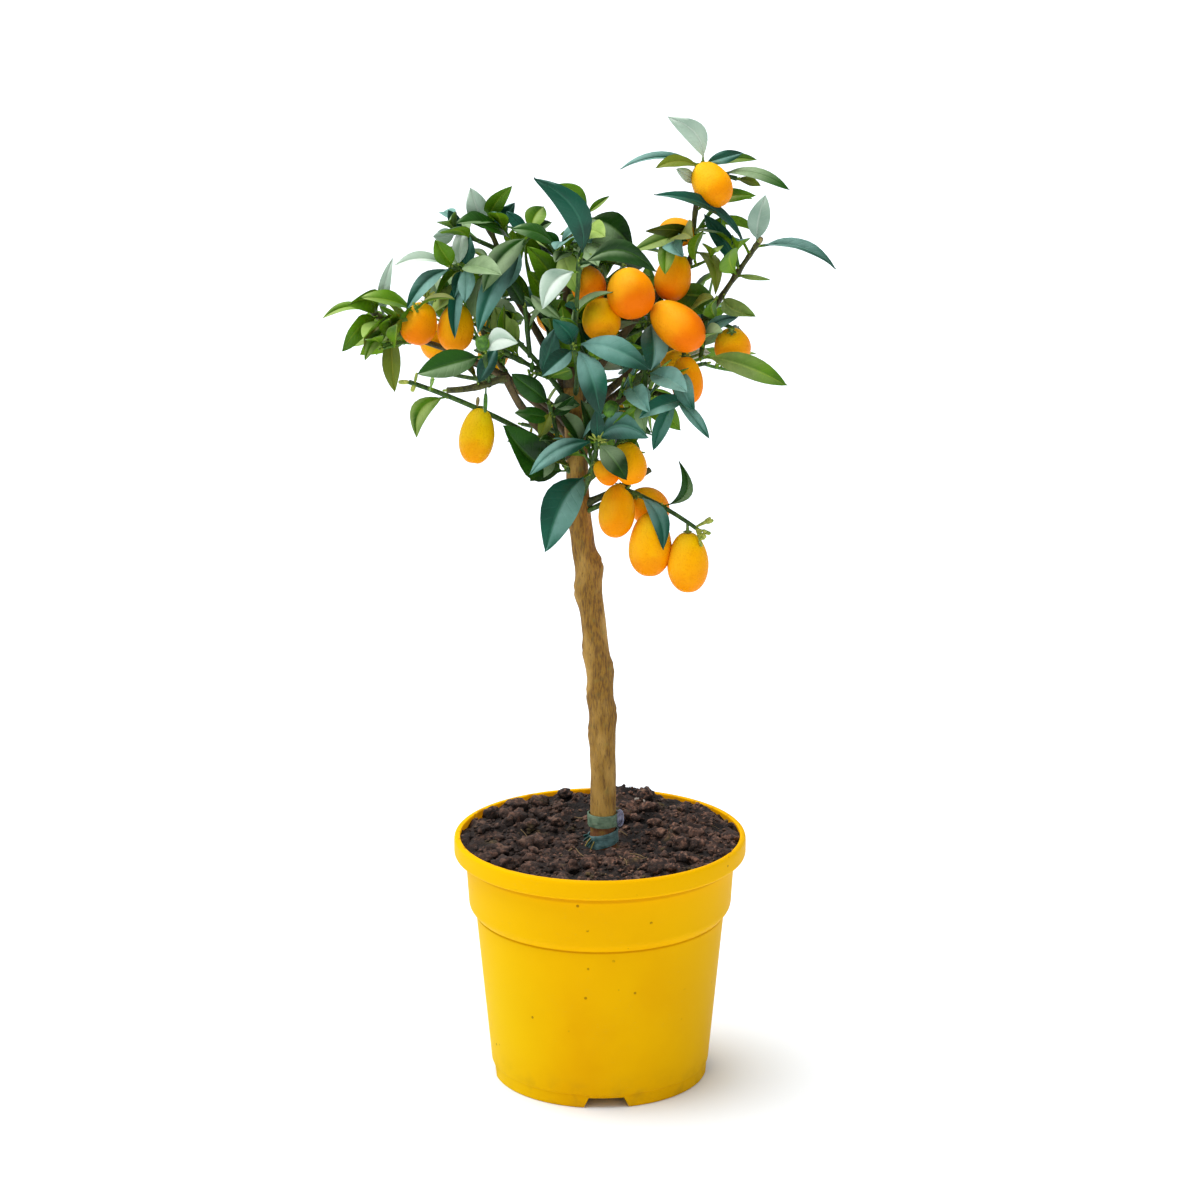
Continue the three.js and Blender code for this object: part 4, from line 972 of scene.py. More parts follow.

# Stem: bearing, toward, length, sweep; a twig has its place along the stem first. Leaf: twig, place
# along it, bearing, toward, length, facing, bow, width. Twig 0 is the stem. Facing turns the upper
# side from the sky (0) through the front (90) to the ground (180), and bow is how far the middle
# stands out anticlockwise, in hundredths of the length. Fruit: twig, place, bearing, toward,
# distance to its middle, length, width. "more" leaves follow by the rule and stay within "reach",
# and "finer" shoots after them. Tints has a letter for each leaf: b blue-green, d deep green,
# g fresh green, p pale with a sheen painted over the whole leaf, o olive. The leaves that the rule
# adds take "rest" in turn.
# Skins has one for each fruit: d deep orange, o orange, g golden, y yellow.
SPRAYS = [
    dict(
        name="far_left_spray", bough="far_left_bough", seed=11, more=5, reach=62,
        stem=(150, 11, 54, 12),
        twigs=[(0.25, 84, 16, 33, 0)],
        leaves=[
            (0, 0.95, 183, 11, 34, 35, -10, 8), (0, 0.9, 145, 48, 31, 80, -26, 17),
            (0, 0.8, 81, 9, 44, 100, 6, 8), (0, 0.88, 219, 38, 37, 120, -20, 18),
            (0, 0.84, 240, 29, 24, 60, 0), (0, 0.68, 226, 50, 37, 70, -6, 9),
            (0, 0.7, 273, 8, 44, 90, 0, 13), (1, 0.6, 185, 45, 26, 60, -5, 9),
        ],
        tints="ggpgogog", rest="gog", finer=4,
        fruit=[(1, 0.95, 253, 17, 17, 29, 24), (1, 0.5, 290, -47, 32, 29, 24)],
        skins="oo",
    ),
    dict(
        name="upper_left_spray", bough="upper_left_bough", seed=12, more=5, reach=62,
        stem=(105, 14, 42, -10),
        twigs=[(0.25, 171, 29, 40, 10), (0.3, 53, 34, 38, 0), (0.6, 153, 14, 32, 0)],
        leaves=[
            (0, 1, 113, 11, 30, 85, 5, 15), (0, 0.98, 63, 20, 36, 80, 12, 12),
            (0, 0.95, 149, 36, 23, 60, -8), (0, 0.9, 54, 18, 28, 70, 0),
            (3, 0.97, 190, 15, 16, 90, 8, 11), (3, 0.85, 119, 3, 18, 70, 0, 8),
            (1, 0.97, 175, 15, 38, 30, -7, 11), (1, 0.94, 120, 20, 24, 80, 0, 14),
            (1, 0.85, 82, -19, 27, 70, 0), (1, 0.7, 83, -6, 22, 60, 0, 11),
            (1, 0.9, 217, 27, 44, 30, -5, 13), (1, 0.78, 255, 40, 22, 80, 0, 9),
            (2, 0.97, 227, 33, 52, 55, -4, 18), (2, 0.75, 241, 32, 71, 70, -3, 17),
            (2, 0.66, 243, 33, 37, 60, 0), (2, 0.85, 30, -30, 22, 50, 0),
            (2, 1, 62, -42, 24, 60, 10, 14), (2, 0.95, 132, -1, 22, 60, 0),
            (1, 0.75, 263, 30, 48, 70, -4, 10),
        ],
        tints="pgdbpbpgpbbbdbbdgbb", rest="dbdd", finer=5,
        fruit=[(1, 0.8, 265, 9, 39, 32, 24)],
        skins="g",
    ),
    dict(
        name="top_spray", bough="leader", seed=13, more=6, reach=58,
        stem=(65, 15, 38, 10),
        twigs=[(0.35, 344, 35, 43, -10), (0.1, 123, 70, 29, 0)],
        leaves=[
            (0, 1, 134, 9, 28, 60, -13, 10), (0, 0.97, 41, 12, 20, 60, 0, 5),
            (2, 0.95, 117, 35, 20, 50, 0), (0, 0.9, 329, 20, 39, 75, 12, 21),
            (1, 0.15, 2, 17, 32, 40, 0),
        ],
        tints="ggddd", rest="dbgd", finer=4,
        fruit=[
            (1, 0.15, 289, 50, 33, 27, 23), (1, 1, 289, 47, 24, 35, 31),
            (1, 0.5, 276, 37, 46, 29, 25),
        ],
        skins="ody",
    ),
    dict(
        name="right_spray", bough="right_bough", seed=14, more=4, reach=60,
        stem=(58, 12, 68, 0),
        twigs=[(0.05, 259, 47, 32, 0), (0.06, 349, 49, 24, 0)],
        leaves=[
            (0, 0.85, 145, 22, 84, 40, -9, 12), (0, 0.65, 122, 1, 44, 60, -3, 13),
            (0, 0.98, 82, 6, 33, 90, 7, 15), (0, 0.95, 346, 13, 55, 30, 8, 13),
            (0, 0.6, 357, 30, 25, 30, -12, 6), (0, 0.35, 334, 44, 32, 60, -18, 14),
            (1, 0.6, 40, 20, 31, 50, 9, 10), (1, 0.97, 344, 15, 60, 50, 3, 17),
            (0, 0.27, 172, 4, 32, 80, -6, 17), (0, 0.1, 150, -20, 25, 60, 8, 15),
        ],
        tints="bbpbggbggg", rest="bgd", finer=3,
        fruit=[(2, 1, 275, -32, 17, 26, 24), (1, 0.9, 215, -50, 30, 27)],
        skins="og",
    ),
    dict(
        name="top_right_spray", bough="top_right_bough", seed=15, more=4, reach=60,
        stem=(84, 9, 67, 4),
        twigs=[(0.95, 344, -5, 24, 0), (0.2, 156, 41, 24, 0)],
        leaves=[
            (0, 1, 126, 5, 39, 60, -19, 15), (0, 0.98, 180, 12, 55, 30, -6, 10),
            (0, 0.96, 173, 36, 38, 50, -9, 10), (0, 0.8, 142, 36, 24, 60, 0, 9),
            (0, 1, 16, -1, 27, 70, 1, 9), (0, 0.97, 6, -13, 37, 60, 5, 8),
            (1, 0.5, 349, 11, 47, 30, 5, 11), (1, 0.97, 344, 1, 17, 50, 0),
            (0, 0.52, 13, -8, 41, 50, 4, 11), (0, 0.25, 166, 36, 40, 110, -18, 11),
            (0, 0.3, 191, 33, 48, 30, 4, 13), (2, 0.97, 264, 39, 29, 70, 0, 12),
            (0, 0.1, 303, 48, 41, 50, 18, 10),
        ],
        tints="pbopbgdogoggo", rest="gbog", finer=3,
        fruit=[
            (0, 0.95, 305, 35, 13, 33, 25), (2, 0.4, 256, 14, 26, 32, 24),
            (0, 0.3, 186, -20, 11, 26, 20),
        ],
        skins="god",
    ),
    dict(
        name="right_low_spray", bough="right_front_bough", seed=16, more=4, reach=55,
        stem=(352, 18, 33, -10),
        twigs=[(0.1, 86, -15, 57, 0), (0.75, 78, -30, 31, 0)],
        leaves=[
            (1, 0.8, 271, 46, 39, 80, 6, 19), (1, 0.75, 243, -4, 31, 120, 0),
            (1, 0.2, 348, 52, 43, 60, 4), (0, 0.3, 215, 17, 34, 130, -8, 19),
            (0, 0.97, 195, 34, 39, 60, 0, 13), (0, 0.7, 316, 37, 40, 40, 1, 9),
            (0, 0.8, 244, 12, 38, 80, -6, 11), (2, 0.65, 290, 45, 34, 80, -6, 14),
        ],
        tints="bdbgbbbb", rest="bdb", finer=4,
        fruit=[(1, 1, 326, 38, 26, 44, 28), (2, 1, 276, 15, 18, 32)],
        skins="do",
    ),
    dict(
        name="centre_spray", trunk=405, seed=17, more=4, reach=46,
        stem=(76, 33, 63, -8),
        twigs=[(0.4, 54, 20, 42, 0)],
        leaves=[
            (0, 0.5, 236, 36, 65, 70, -10, 26), (0, 0.98, 201, 25, 52, 50, -6, 14),
            (0, 0.95, 16, 35, 42, 80, 24, 18), (0, 0.96, 312, 27, 32, 70, 4, 16),
            (0, 1, 92, 19, 24, 70, 0), (1, 0.97, 87, 13, 20, 70, 0),
        ],
        tints="bbbdbb", rest="db", finer=3,
        fruit=[(1, 0.97, 285, 7, 17, 29, 22), (0, 0.7, 318, 30, 12, 20, 14)],
        skins="go",
    ),
    dict(
        name="low_spray", trunk=398, seed=18, more=2, reach=50,
        stem=(35, 27, 44, -10),
        twigs=[(0.95, 333, 12, 55, 8)],
        leaves=[(1, 0.15, 298, 29, 42, 60, 16, 12), (1, 0.48, 70, -1, 33, 60, -38, 9)],
        tints="bd", rest="bd", finer=1,
        fruit=[
            (0, 0.8, 262, 40, 12, 38, 24), (0, 0.95, 314, -40, 29, 34, 25),
            (1, 0.35, 268, 6, 29, 43), (1, 0.85, 271, 3, 27, 41),
        ],
        skins="gogg",
    ),
    dict(
        name="left_spray", bough="left_bough", seed=19, more=4, reach=50,
        stem=(188, 25, 42, 14),
        twigs=[(0.3, 97, 20, 24, 0)],
        leaves=[
            (1, 0.9, 190, 26, 48, 60, 0, 19), (1, 1, 71, 14, 10, 70, 0),
            (1, 0.95, 24, 23, 26, 60, 22, 16), (0, 0.5, 65, -8, 30, 60, 0),
        ],
        tints="dgpb", rest="dog", finer=3,
        fruit=[], skins="",
    ),
    dict(
        name="low_left_shoot", trunk=432, seed=20, more=2, reach=80,
        stem=(150, 15, 131, -8),
        twigs=[],
        leaves=[(0, 0.78, 228, 30, 36, 60, -24, 14), (0, 0.88, 75, 60, 24, 60, 0)],
        tints="gg", rest="og", finer=1,
        fruit=[(0, 0.6, 262, 13, 17, 38, 23)],
        skins="y",
    ),
    dict(
        name="front_shoot", trunk=476, seed=21, more=1, reach=62,
        stem=(90, 44, 64, -12),
        twigs=[(0.98, 86, 6, 60, 0)],
        leaves=[
            (0, 0.97, 121, 35, 31, 70, -8, 15), (0, 0.95, 214, 41, 33, 70, 0),
            (0, 0.98, 293, 24, 49, 80, 10, 19), (0, 1, 347, 23, 55, 60, 8, 18),
            (1, 0.4, 136, 57, 18, 60, 0), (1, 0.97, 79, 9, 9, 60, 0), (1, 0.9, 25, 42, 12, 60, 0),
            (1, 0.95, 117, 14, 66, 75, -19, 18), (1, 0.85, 222, 30, 36, 60, -17, 17),
            (1, 0.88, 359, 8, 50, 75, 26, 15),
        ],
        tints="bbbbbddbpd", rest="bd", finer=2,
        fruit=[], skins="",
    ),
    dict(
        name="inner_left_spray", trunk=420, seed=22, more=4, reach=45,
        stem=(123, 21, 45, 0),
        twigs=[(0.4, 102, 10, 43, 0)],
        leaves=[
            (0, 0.24, 140, 22, 60, 60, 17, 29), (0, 1, 191, -7, 24, 70, 0),
            (0, 0.6, 222, 27, 26, 60, 0, 15), (1, 1, 136, 22, 37, 60, 0, 15),
            (1, 0.8, 50, 30, 25, 120, 0), (1, 0.8, 168, 25, 28, 60, 5, 12),
            (1, 0.97, 8, 20, 21, 60, 8, 12), (1, 0.9, 245, 20, 20, 60, 0, 9),
        ],
        tints="dddddddo", rest="ddo", finer=5,
        fruit=[], skins="",
    ),
    dict(
        name="mid_left_spray", trunk=468, seed=23, more=12, reach=54,
        stem=(128, 4, 62, -6),
        twigs=[
            (0.5, 150, 10, 34, 0), (0.8, 95, 10, 34, 0), (0.6, 75, -20, 34, 0),
            (0.95, 160, -20, 34, 0),
        ],
        leaves=[(1, 0.95, 200, 15, 15, 60, 0), (2, 0.95, 120, 8, 25, 70, 0)],
        tints="gd", rest="dbdg", finer=8,
        fruit=[], skins="",
    ),
    dict(
        name="mid_right_spray", trunk=480, seed=24, more=10, reach=52,
        stem=(60, -12, 66, 6),
        twigs=[(0.5, 20, -20, 36, 0), (0.8, 100, -5, 34, 0), (0.9, 35, 10, 30, 0)],
        leaves=[],
        tints="", rest="dgdb", finer=5,
        fruit=[], skins="",
    ),
    dict(
        name="back_left_spray", bough="back_left_bough", seed=31, more=20, reach=70,
        stem=(122, -32, 62, 8),
        twigs=[
            (0.1, 175, -12, 44, 6), (0.25, 215, -50, 34, 0), (0.4, 60, -55, 42, -6),
            (0.6, 152, 5, 38, 0), (0.85, 95, -50, 36, 0),
        ],
        leaves=[],
        tints="", rest="bdgdp", finer=9,
        fruit=[(0, 0.6, 85, -66, 26, 34), (2, 0.8, 65, -60, 25, 32)],
        skins="og",
    ),
    dict(
        name="back_right_spray", bough="back_right_bough", seed=32, more=20, reach=70,
        stem=(50, -34, 62, -8),
        twigs=[
            (0.1, 5, -12, 44, -6), (0.25, 320, -50, 32, 0), (0.4, 120, -55, 42, 6),
            (0.6, 28, -40, 38, 0), (0.85, 85, -50, 36, 0),
        ],
        leaves=[],
        tints="", rest="bdgdp", finer=9,
        fruit=[(0, 0.6, 70, -66, 25, 33), (2, 0.8, 85, -60, 25, 31)],
        skins="go",
    ),
    dict(
        name="back_top_spray", bough="back_top_bough", seed=33, more=18, reach=62,
        stem=(92, -28, 54, 0),
        twigs=[
            (0.1, 160, -40, 42, 0), (0.25, 20, -40, 42, 0), (0.55, 110, -70, 38, 0),
            (0.8, 60, -10, 28, 0),
        ],
        leaves=[],
        tints="", rest="bdgdp", finer=8,
        fruit=[(1, 0.5, 300, -62, 26, 33), (2, 0.8, 275, -62, 26, 32)],
        skins="og",
    ),
    dict(
        name="back_low_spray", trunk=424, seed=34, more=14, reach=60,
        stem=(95, -58, 84, 0),
        twigs=[(0.45, 175, -30, 42, 0), (0.6, 15, -35, 40, 0), (0.9, 100, -30, 30, 0)],
        leaves=[],
        tints="", rest="bdgdp", finer=7,
        fruit=[(1, 0.5, 300, -64, 26, 34), (2, 0.85, 275, -64, 25, 32)],
        skins="go",
    ),
]


def drawer(seed):
    """A repeatable source of even draws between 0 and 1."""
    state = seed
    while True:
        state = (state + 0x6D2B79F5) & 0xFFFFFFFF
        mixed = ((state ^ (state >> 15)) * (1 | state)) & 0xFFFFFFFF
        mixed ^= (mixed + (mixed ^ (mixed >> 7)) * (61 | mixed)) & 0xFFFFFFFF
        yield (mixed ^ (mixed >> 14)) / 4294967296


def unit(way):
    """The same direction, one long."""
    return way / np.linalg.norm(way)


class Form:
    """A part's skin and the ball round it, for trying whether two parts touch."""

    def __init__(self, points, faces):
        self.middle = (points.min(0) + points.max(0)) / 2
        self.radius = np.linalg.norm(points - self.middle, axis=1).max()
        self.tree = BVHTree.FromPolygons([tuple(p) for p in points], faces)

    def touches(self, others):
        for other in others:
            apart = self.middle - other.middle
            near = apart @ apart < (self.radius + other.radius) ** 2
            if near and self.tree.overlap(other.tree):
                return True
        return False


def blade_form(root, direction, normal, length, width):
    """The form of a leaf in the fewest faces: a keeled blade, flat on top."""
    up = square_to(direction, normal)[0]
    side = np.cross(up, direction)
    points = []
    for place in (0, 0.5):
        half = 0.45 + width / 2 * math.sin(math.pi * place**LEAF_FULLNESS)
        centre = root + direction * length * place
        centre = centre + up * length * LEAF_ARCH_SHARE * 4 * place * (1 - place)
        points += [centre - up * 0.6, centre + side * half, centre - side * half]
    points.append(root + direction * length)
    faces = [(0, 2, 1)]
    for i, k in ((0, 1), (1, 2), (2, 0)):
        faces += [(i, k, k + 3), (i, k + 3, i + 3), (i + 3, k + 3, 6)]
    return Form(np.array(points), faces)


def rod_form(line, radius):
    """The form of a limb or a fruit, as a six-sided rod."""
    points, faces = tube(line, radius, 6)
    return Form(points, [tuple(face) for group in faces for face in group])


trunk_course = trunk_line[::12]
trunk_sizes = [trunk_radius(point[2] + 1.5) for point in trunk_course]
limb_forms = {"trunk": rod_form(trunk_course, trunk_sizes)}
for name, limb in bough_limbs.items():
    places = np.linspace(0, 1, 6)
    sizes = limb.foot + 0.3 + (limb.tip - limb.foot) * places
    limb_forms[name] = rod_form(limb.at(places), sizes)


class Spray:
    """One mass of foliage as it grows: its limbs, leaves and fruit, and the room they take up."""

    def __init__(self, plan):
        self.plan = plan
        bough = bough_limbs.get(plan.get("bough"))
        if bough:
            start = bough.end + bough.heading(1) * TOUCH_GAP
            stem = Limb(start, bough.tip, *plan["stem"])
            stem.back = bough.heading(1)
        else:
            stem = Limb(trunk_point(plan["trunk"]), SHOOT_RADIUS, *plan["stem"])
        self.limbs = [stem]
        for place, *course in plan["twigs"]:
            self.limbs.append(Limb(stem.at(place), TWIG_RADIUS, *course))
        self.middle = stem.at(MASS_MIDDLE)
        self.draw = drawer(plan["seed"])
        self.leaves, self.fruit, self.forms, self.shoots = [], [], [], []
        for limb in self.limbs:
            places = np.linspace(0, 1, 4)
            self.forms.append(rod_form(limb.at(places), limb.foot * (1 - 0.2 * places)))
        for twig, place, bearing, toward, reach, length, *width in plan["fruit"]:
            width = width[0] if width else length * FRUIT_WIDTH_SHARE
            root = self.limbs[twig].at(place)
            self.bear_fruit(root, aim(bearing, toward), reach, length, width)
        for leaf, tint in zip(plan["leaves"], plan["tints"]):
            twig, place, bearing, toward, length, facing, bow, *width = leaf
            turn = math.radians(facing)
            normal = UP * math.cos(turn) + FRONT * math.sin(turn)
            width = width[0] if width else length * LEAF_WIDTH_SHARE
            root, direction = self.limbs[twig].at(place), aim(bearing, toward)
            self.bear_leaf(root, direction, normal, length, width, bow, tint)

    def bear_fruit(self, root, direction, reach, length, width):
        self.fruit.append((root, direction, reach, length, width))
        shares = (-0.48, -0.25, 0, 0.25, 0.48)
        ends = [root + direction * (reach + length * share) for share in shares]
        widths = [width * share for share in (0.14, 0.43, 0.5, 0.43, 0.14)]
        self.forms.append(rod_form(ends, widths))

    def bear_leaf(self, root, direction, normal, length, width, bow, tint):
        self.leaves.append((root, direction, normal, length, width, bow, tint))
        self.forms.append(blade_form(root, direction, normal, length, width))

    def set_off(self, limb, i, nearest, splays, lengths):
        """Draws where a leaf or shoot leaves its limb, which way it heads from there, and its
        length. The third value is the way straight out from the limb."""
        place = nearest + PLACE_SPREAD * next(self.draw)
        turn = math.radians(i * LEAF_TURN + TURN_SPREAD * next(self.draw))
        splay = math.radians(splays[0] + splays[1] * next(self.draw))
        length = lengths[0] + lengths[1] * next(self.draw)
        along = limb.heading(place)
        first, second = square_to(along, UP)
        out = first * math.cos(turn) + second * math.sin(turn)
        way = along * math.cos(splay) + out * math.sin(splay)
        return limb.at(place), way, out, length

    def try_leaf(self, limb, i, lengths, others):
        """Draws one leaf by the rule and bears it if there is room for it."""
        root, way, out, length = self.set_off(limb, i, LEAF_NEAREST, LEAF_SPLAYS, lengths)
        rise = LEAF_RISE * (next(self.draw) - RISE_MIDDLE)
        width = length * LEAF_WIDTH_SHARE
        direction = unit(way + UP * rise)
        tip = root + direction * length
        if np.linalg.norm(tip - self.middle) > self.plan["reach"]:
            return False
        normal = UP + OUTWARD_FACING * unit(root - self.middle) + SIDEWAYS_FACING * out
        if not leaf_in_crown(root, direction, normal, length, width):
            return False
        guard_size = length * GUARD_LENGTH, width * GUARD_WIDTH
        guard = blade_form(root, direction, normal, *guard_size)
        free_root = root + direction * length * FREE_FROM
        free = blade_form(free_root, direction, normal, length * (1 - FREE_FROM), width)
        if guard.touches(others) or free.touches(self.forms):
            return False
        rest = self.plan["rest"]
        tint = rest[len(self.leaves) % len(rest)]
        self.bear_leaf(root, direction, normal, length, width, None, tint)
        return True

    def fill_out(self, others):
        """Adds the rule's leaves to the stem and the twigs, as many as the plan wants more."""
        wanted = self.plan["more"]
        for i in range(wanted * TRIES_PER_LEAF):
            if wanted:
                limb = self.limbs[i % len(self.limbs)]
                wanted -= self.try_leaf(limb, i, LEAF_LENGTHS, others)

    def grow_finer(self, others):
        """Carries the rule on to finer shoots between the twigs, each with its own few leaves."""
        wanted = self.plan["finer"]
        parents = self.limbs
        if "bough" in self.plan:
            parents = self.limbs + [bough_limbs[self.plan["bough"]]] * BOUGH_SHOOTS
        for i in range(wanted * SHOOT_TRIES):
            if not wanted:
                break
            parent = parents[i % len(parents)]
            drawn = self.set_off(parent, i, SHOOT_NEAREST, SHOOT_SPLAYS, SHOOT_LENGTHS)
            root, way, out, length = drawn
            direction = unit(way + UP * SHOOT_RISE)
            tip = root + direction * length
            far = np.linalg.norm(tip - self.middle) > self.plan["reach"] - SHOOT_MARGIN
            if far or not in_crown(tip):
                continue
            bearing = math.degrees(math.atan2(direction[2], direction[0]))
            toward = math.degrees(math.asin(-direction[1]))
            sweep = SHOOT_SWEEP * (next(self.draw) - 0.5)
            shoot = Limb(root, SHOOT_FOOT, bearing, toward, length, sweep)
            body = rod_form(shoot.at(np.linspace(0.25, 1, 3)), [SHOOT_FOOT, 1, 0.8])
            if body.touches(others):
                continue
            kept = len(self.leaves)
            for k in range(SHOOT_LEAF_TRIES):
                if len(self.leaves) - kept < SHOOT_LEAVES:
                    self.try_leaf(shoot, k, SHOOT_LEAF_LENGTHS, others)
            if len(self.leaves) - kept >= LEAST_SHOOT_LEAVES:
                self.shoots.append(shoot)
                self.forms.append(body)
                wanted -= 1
            else:
                del self.forms[len(self.forms) - (len(self.leaves) - kept) :]
                del self.leaves[kept:]


# How the crown looks from the front, as ovals given by their middles and half sizes, across and
# up: where it is dense, and the openings that can be seen through. The leaves and shoots that the
# rule adds keep within the one and off the other.
DENSE = [
    (-78, 573, 42, 37), (-142, 526, 33, 23), (-106, 523, 36, 26), (-53, 543, 40, 53),
    (-3, 543, 43, 57), (40, 537, 40, 57), (69, 613, 33, 22), (85, 580, 28, 30),
    (76, 516, 33, 30), (-8, 454, 38, 33), (27, 459, 39, 34),
]
OPENINGS = [
    (-42, 565, 5, 8), (-50, 535, 5, 7), (-44, 520, 11, 8), (-60, 500, 11, 14), (-32, 489, 7, 5),
    (-32, 464, 7, 6), (8, 489, 6, 14), (-7, 440, 6, 10), (63, 560, 5, 7), (33, 627, 26, 38),
    (-108, 523, 20, 14), (50, 553, 9, 10), (-84, 585, 9, 8), (8, 602, 12, 5), (83, 622, 9, 9),
    (100, 525, 8, 14), (74, 481, 13, 19), (93, 600, 6, 11), (-125, 502, 9, 9),
    (-99, 473, 12, 9), (-115, 592, 10, 16), (-126, 560, 9, 14), (103, 572, 10, 9),
    (49, 443, 12, 11),
]


def seen_from_front(point):
    """Where a point appears on the upright sheet through the pot's axis, seen from the camera."""
    eye = np.array(CAMERA_PLACE) * 1000
    share = -eye[1] / (point[1] - eye[1])
    return eye[0] + (point[0] - eye[0]) * share, eye[2] + (point[2] - eye[2]) * share


def in_crown(point):
    """Whether a point, seen from the front, lies in a dense part and in no opening."""
    x, z = seen_from_front(point)

    def within(ovals):
        return any(((x - cx) / rx) ** 2 + ((z - cz) / rz) ** 2 < 1 for cx, cz, rx, rz in ovals)

    return within(DENSE) and not within(OPENINGS)


def leaf_in_crown(root, direction, normal, length, width):
    """Whether a leaf's tip, middle and edges all do."""
    up = square_to(direction, normal)[0]
    side = np.cross(up, direction)
    belly = root + direction * length * 0.5 + up * length * LEAF_ARCH_SHARE
    edges = [belly + side * width / 2, belly - side * width / 2]
    return all(in_crown(p) for p in [*edges, root + direction * length, belly])


sprays = [Spray(plan) for plan in SPRAYS]
for grow in (Spray.fill_out, Spray.grow_finer):
    for spray in sprays:
        others = [form for name, form in limb_forms.items() if name != spray.plan.get("bough")]
        for other in sprays:
            if other is not spray:
                others += other.forms
        grow(spray, others)


# The leaves: leathery kumquat leaves on short stalks, each a keeled blade with a pale midrib, a
# wavy edge and a fine point. They are glossy and blue-green above, and a bright olive green below.
LEAF_STALK_SHARE, LEAF_STALK_HALF, LEAF_STALK_THICKNESS = 0.12, 0.75, 1.3
LEAF_THICKNESS, LEAF_SKEW, LEAF_ROUNDNESS = 0.42, 0.94, 0.76
MIDRIB_DEPTH, MIDRIB_HALF, GROOVE_DEPTH, GROOVE_HALF = 0.7, 0.12, 0.25, 0.1
LEAF_STATIONS = np.array([
    0, 0.05, 0.1, 0.135, 0.17, 0.22, 0.29, 0.38, 0.48, 0.58, 0.68, 0.77, 0.85, 0.91, 0.96, 0.99
])
LEAF_TOP_COLUMNS = np.array([1, 0.62, 0.16, 0, -0.16, -0.62, -1])
LEAF_UNDER_COLUMNS = np.array([-0.97, -0.55, -0.1, 0, 0.1, 0.55, 0.97])
# The least and the most of a leaf's fold, curl, wave, twist, bend and arch.
LEAF_LEAST, LEAF_MOST = (0.15, 0, 0.01, -0.4, -0.08, 0.05), (0.6, 0.4, 0.09, 0.4, 0.08, 0.16)
LEAF_TINTS = "bdgpo"
# The way the leaves face where their painted sheen is strongest.
LEAF_LIGHT_SIDE = (-0.5, -0.35, 0.79)
# Each group of sprays makes one piece of leaves.
LEAF_GROUPS = {
    "leaves_left": ("far_left_spray", "upper_left_spray", "left_spray", "low_left_shoot"),
    "leaves_middle": (
        "top_spray", "front_shoot", "centre_spray", "low_spray",
        "inner_left_spray", "mid_left_spray", "mid_right_spray",
    ),
    "leaves_right": ("right_spray", "top_right_spray", "right_low_spray"),
    "leaves_back": ("back_left_spray", "back_right_spray", "back_top_spray", "back_low_spray"),
}

leaf_draw = np.random.default_rng(21)


def leaf_skin(root, direction, normal, length, width, bow):
    """A leaf's closed skin, and where each of its points lies across (0 to 1) and along it."""
    up = square_to(direction, normal)[0]
    side = np.cross(up, direction)
    fold, curl, wave, twist, bend, arch = leaf_draw.uniform(LEAF_LEAST, LEAF_MOST)
    beat, phase = leaf_draw.uniform((1.2, 0), (2.4, 6.28))
    if bow is not None:
        bend = math.copysign(bow / 100, bow * (side[2] * direction[0] - side[0] * direction[2]))
    along = LEAF_STATIONS[:, None]
    blade = np.clip((along - LEAF_STALK_SHARE) / (1 - LEAF_STALK_SHARE), 0, 1)
    swell = np.sin(math.pi * blade**LEAF_SKEW) ** LEAF_ROUNDNESS
    half = np.maximum(width / 2 * swell, LEAF_STALK_HALF * (1 - 0.75 * blade))
    across = np.concatenate([LEAF_TOP_COLUMNS, LEAF_UNDER_COLUMNS])[None, :]
    under = np.arange(len(across[0])) >= len(LEAF_TOP_COLUMNS)
    spread = np.minimum(1, half / (0.2 * width))
    lift = half * spread * (fold * abs(across) - curl * across**2)
    ripple = half * spread * wave * np.sin(6.28 * beat * along + phase + 1.6 * across)
    lift = lift + ripple * abs(across) ** 2
    stalk = 1 - np.minimum(1, blade * 12)
    thickness = LEAF_THICKNESS * (1 - across**2 * 0.4)
    thickness = thickness + (LEAF_STALK_THICKNESS - LEAF_THICKNESS) * stalk
    rib = MIDRIB_DEPTH * (1 - 0.7 * along) * np.maximum(0, 1 - (across / MIDRIB_HALF) ** 2)
    lift = lift - under * (thickness + rib)
    groove = GROOVE_DEPTH * np.maximum(0, 1 - (across / GROOVE_HALF) ** 2) * (1 - stalk) * ~under
    rise = length * arch * 4 * along * (1 - along) + lift - groove
    shift = half * across * np.cos(np.arctan(fold) * 0.6) + length * bend * 4 * along * (1 - along)
    turn = twist * (along - 0.2)
    sine, cosine = np.sin(turn), np.cos(turn)
    shift, rise = shift * cosine - rise * sine, shift * sine + rise * cosine
    rings = root + direction * (length * along)[..., None]
    rings = rings + side * shift[..., None] + up * rise[..., None]
    points, faces = loft(rings, root, rings[-1].mean(0) + direction * 0.03 * length)
    lines = np.stack(np.broadcast_arrays(0.5 + 0.5 * across, along), -1).reshape(-1, 2)
    return points, faces, np.concatenate([lines, [(0.5, 0), (0.5, 1)]])


def leaf_slots(tint):
    """The finish of every face of a leaf's skin: its tint above, the underside's below."""
    columns = len(LEAF_TOP_COLUMNS) + len(LEAF_UNDER_COLUMNS)
    under = len(LEAF_TINTS)
    row = np.where(np.arange(columns) < len(LEAF_TOP_COLUMNS), tint, under)
    row[-1] = tint
    rows = np.tile(row, (len(LEAF_STATIONS) - 1, 1))
    rows[LEAF_STATIONS[1:] <= LEAF_STALK_SHARE] = under
    return [rows.ravel(), np.concatenate([np.full(columns, under), row])]


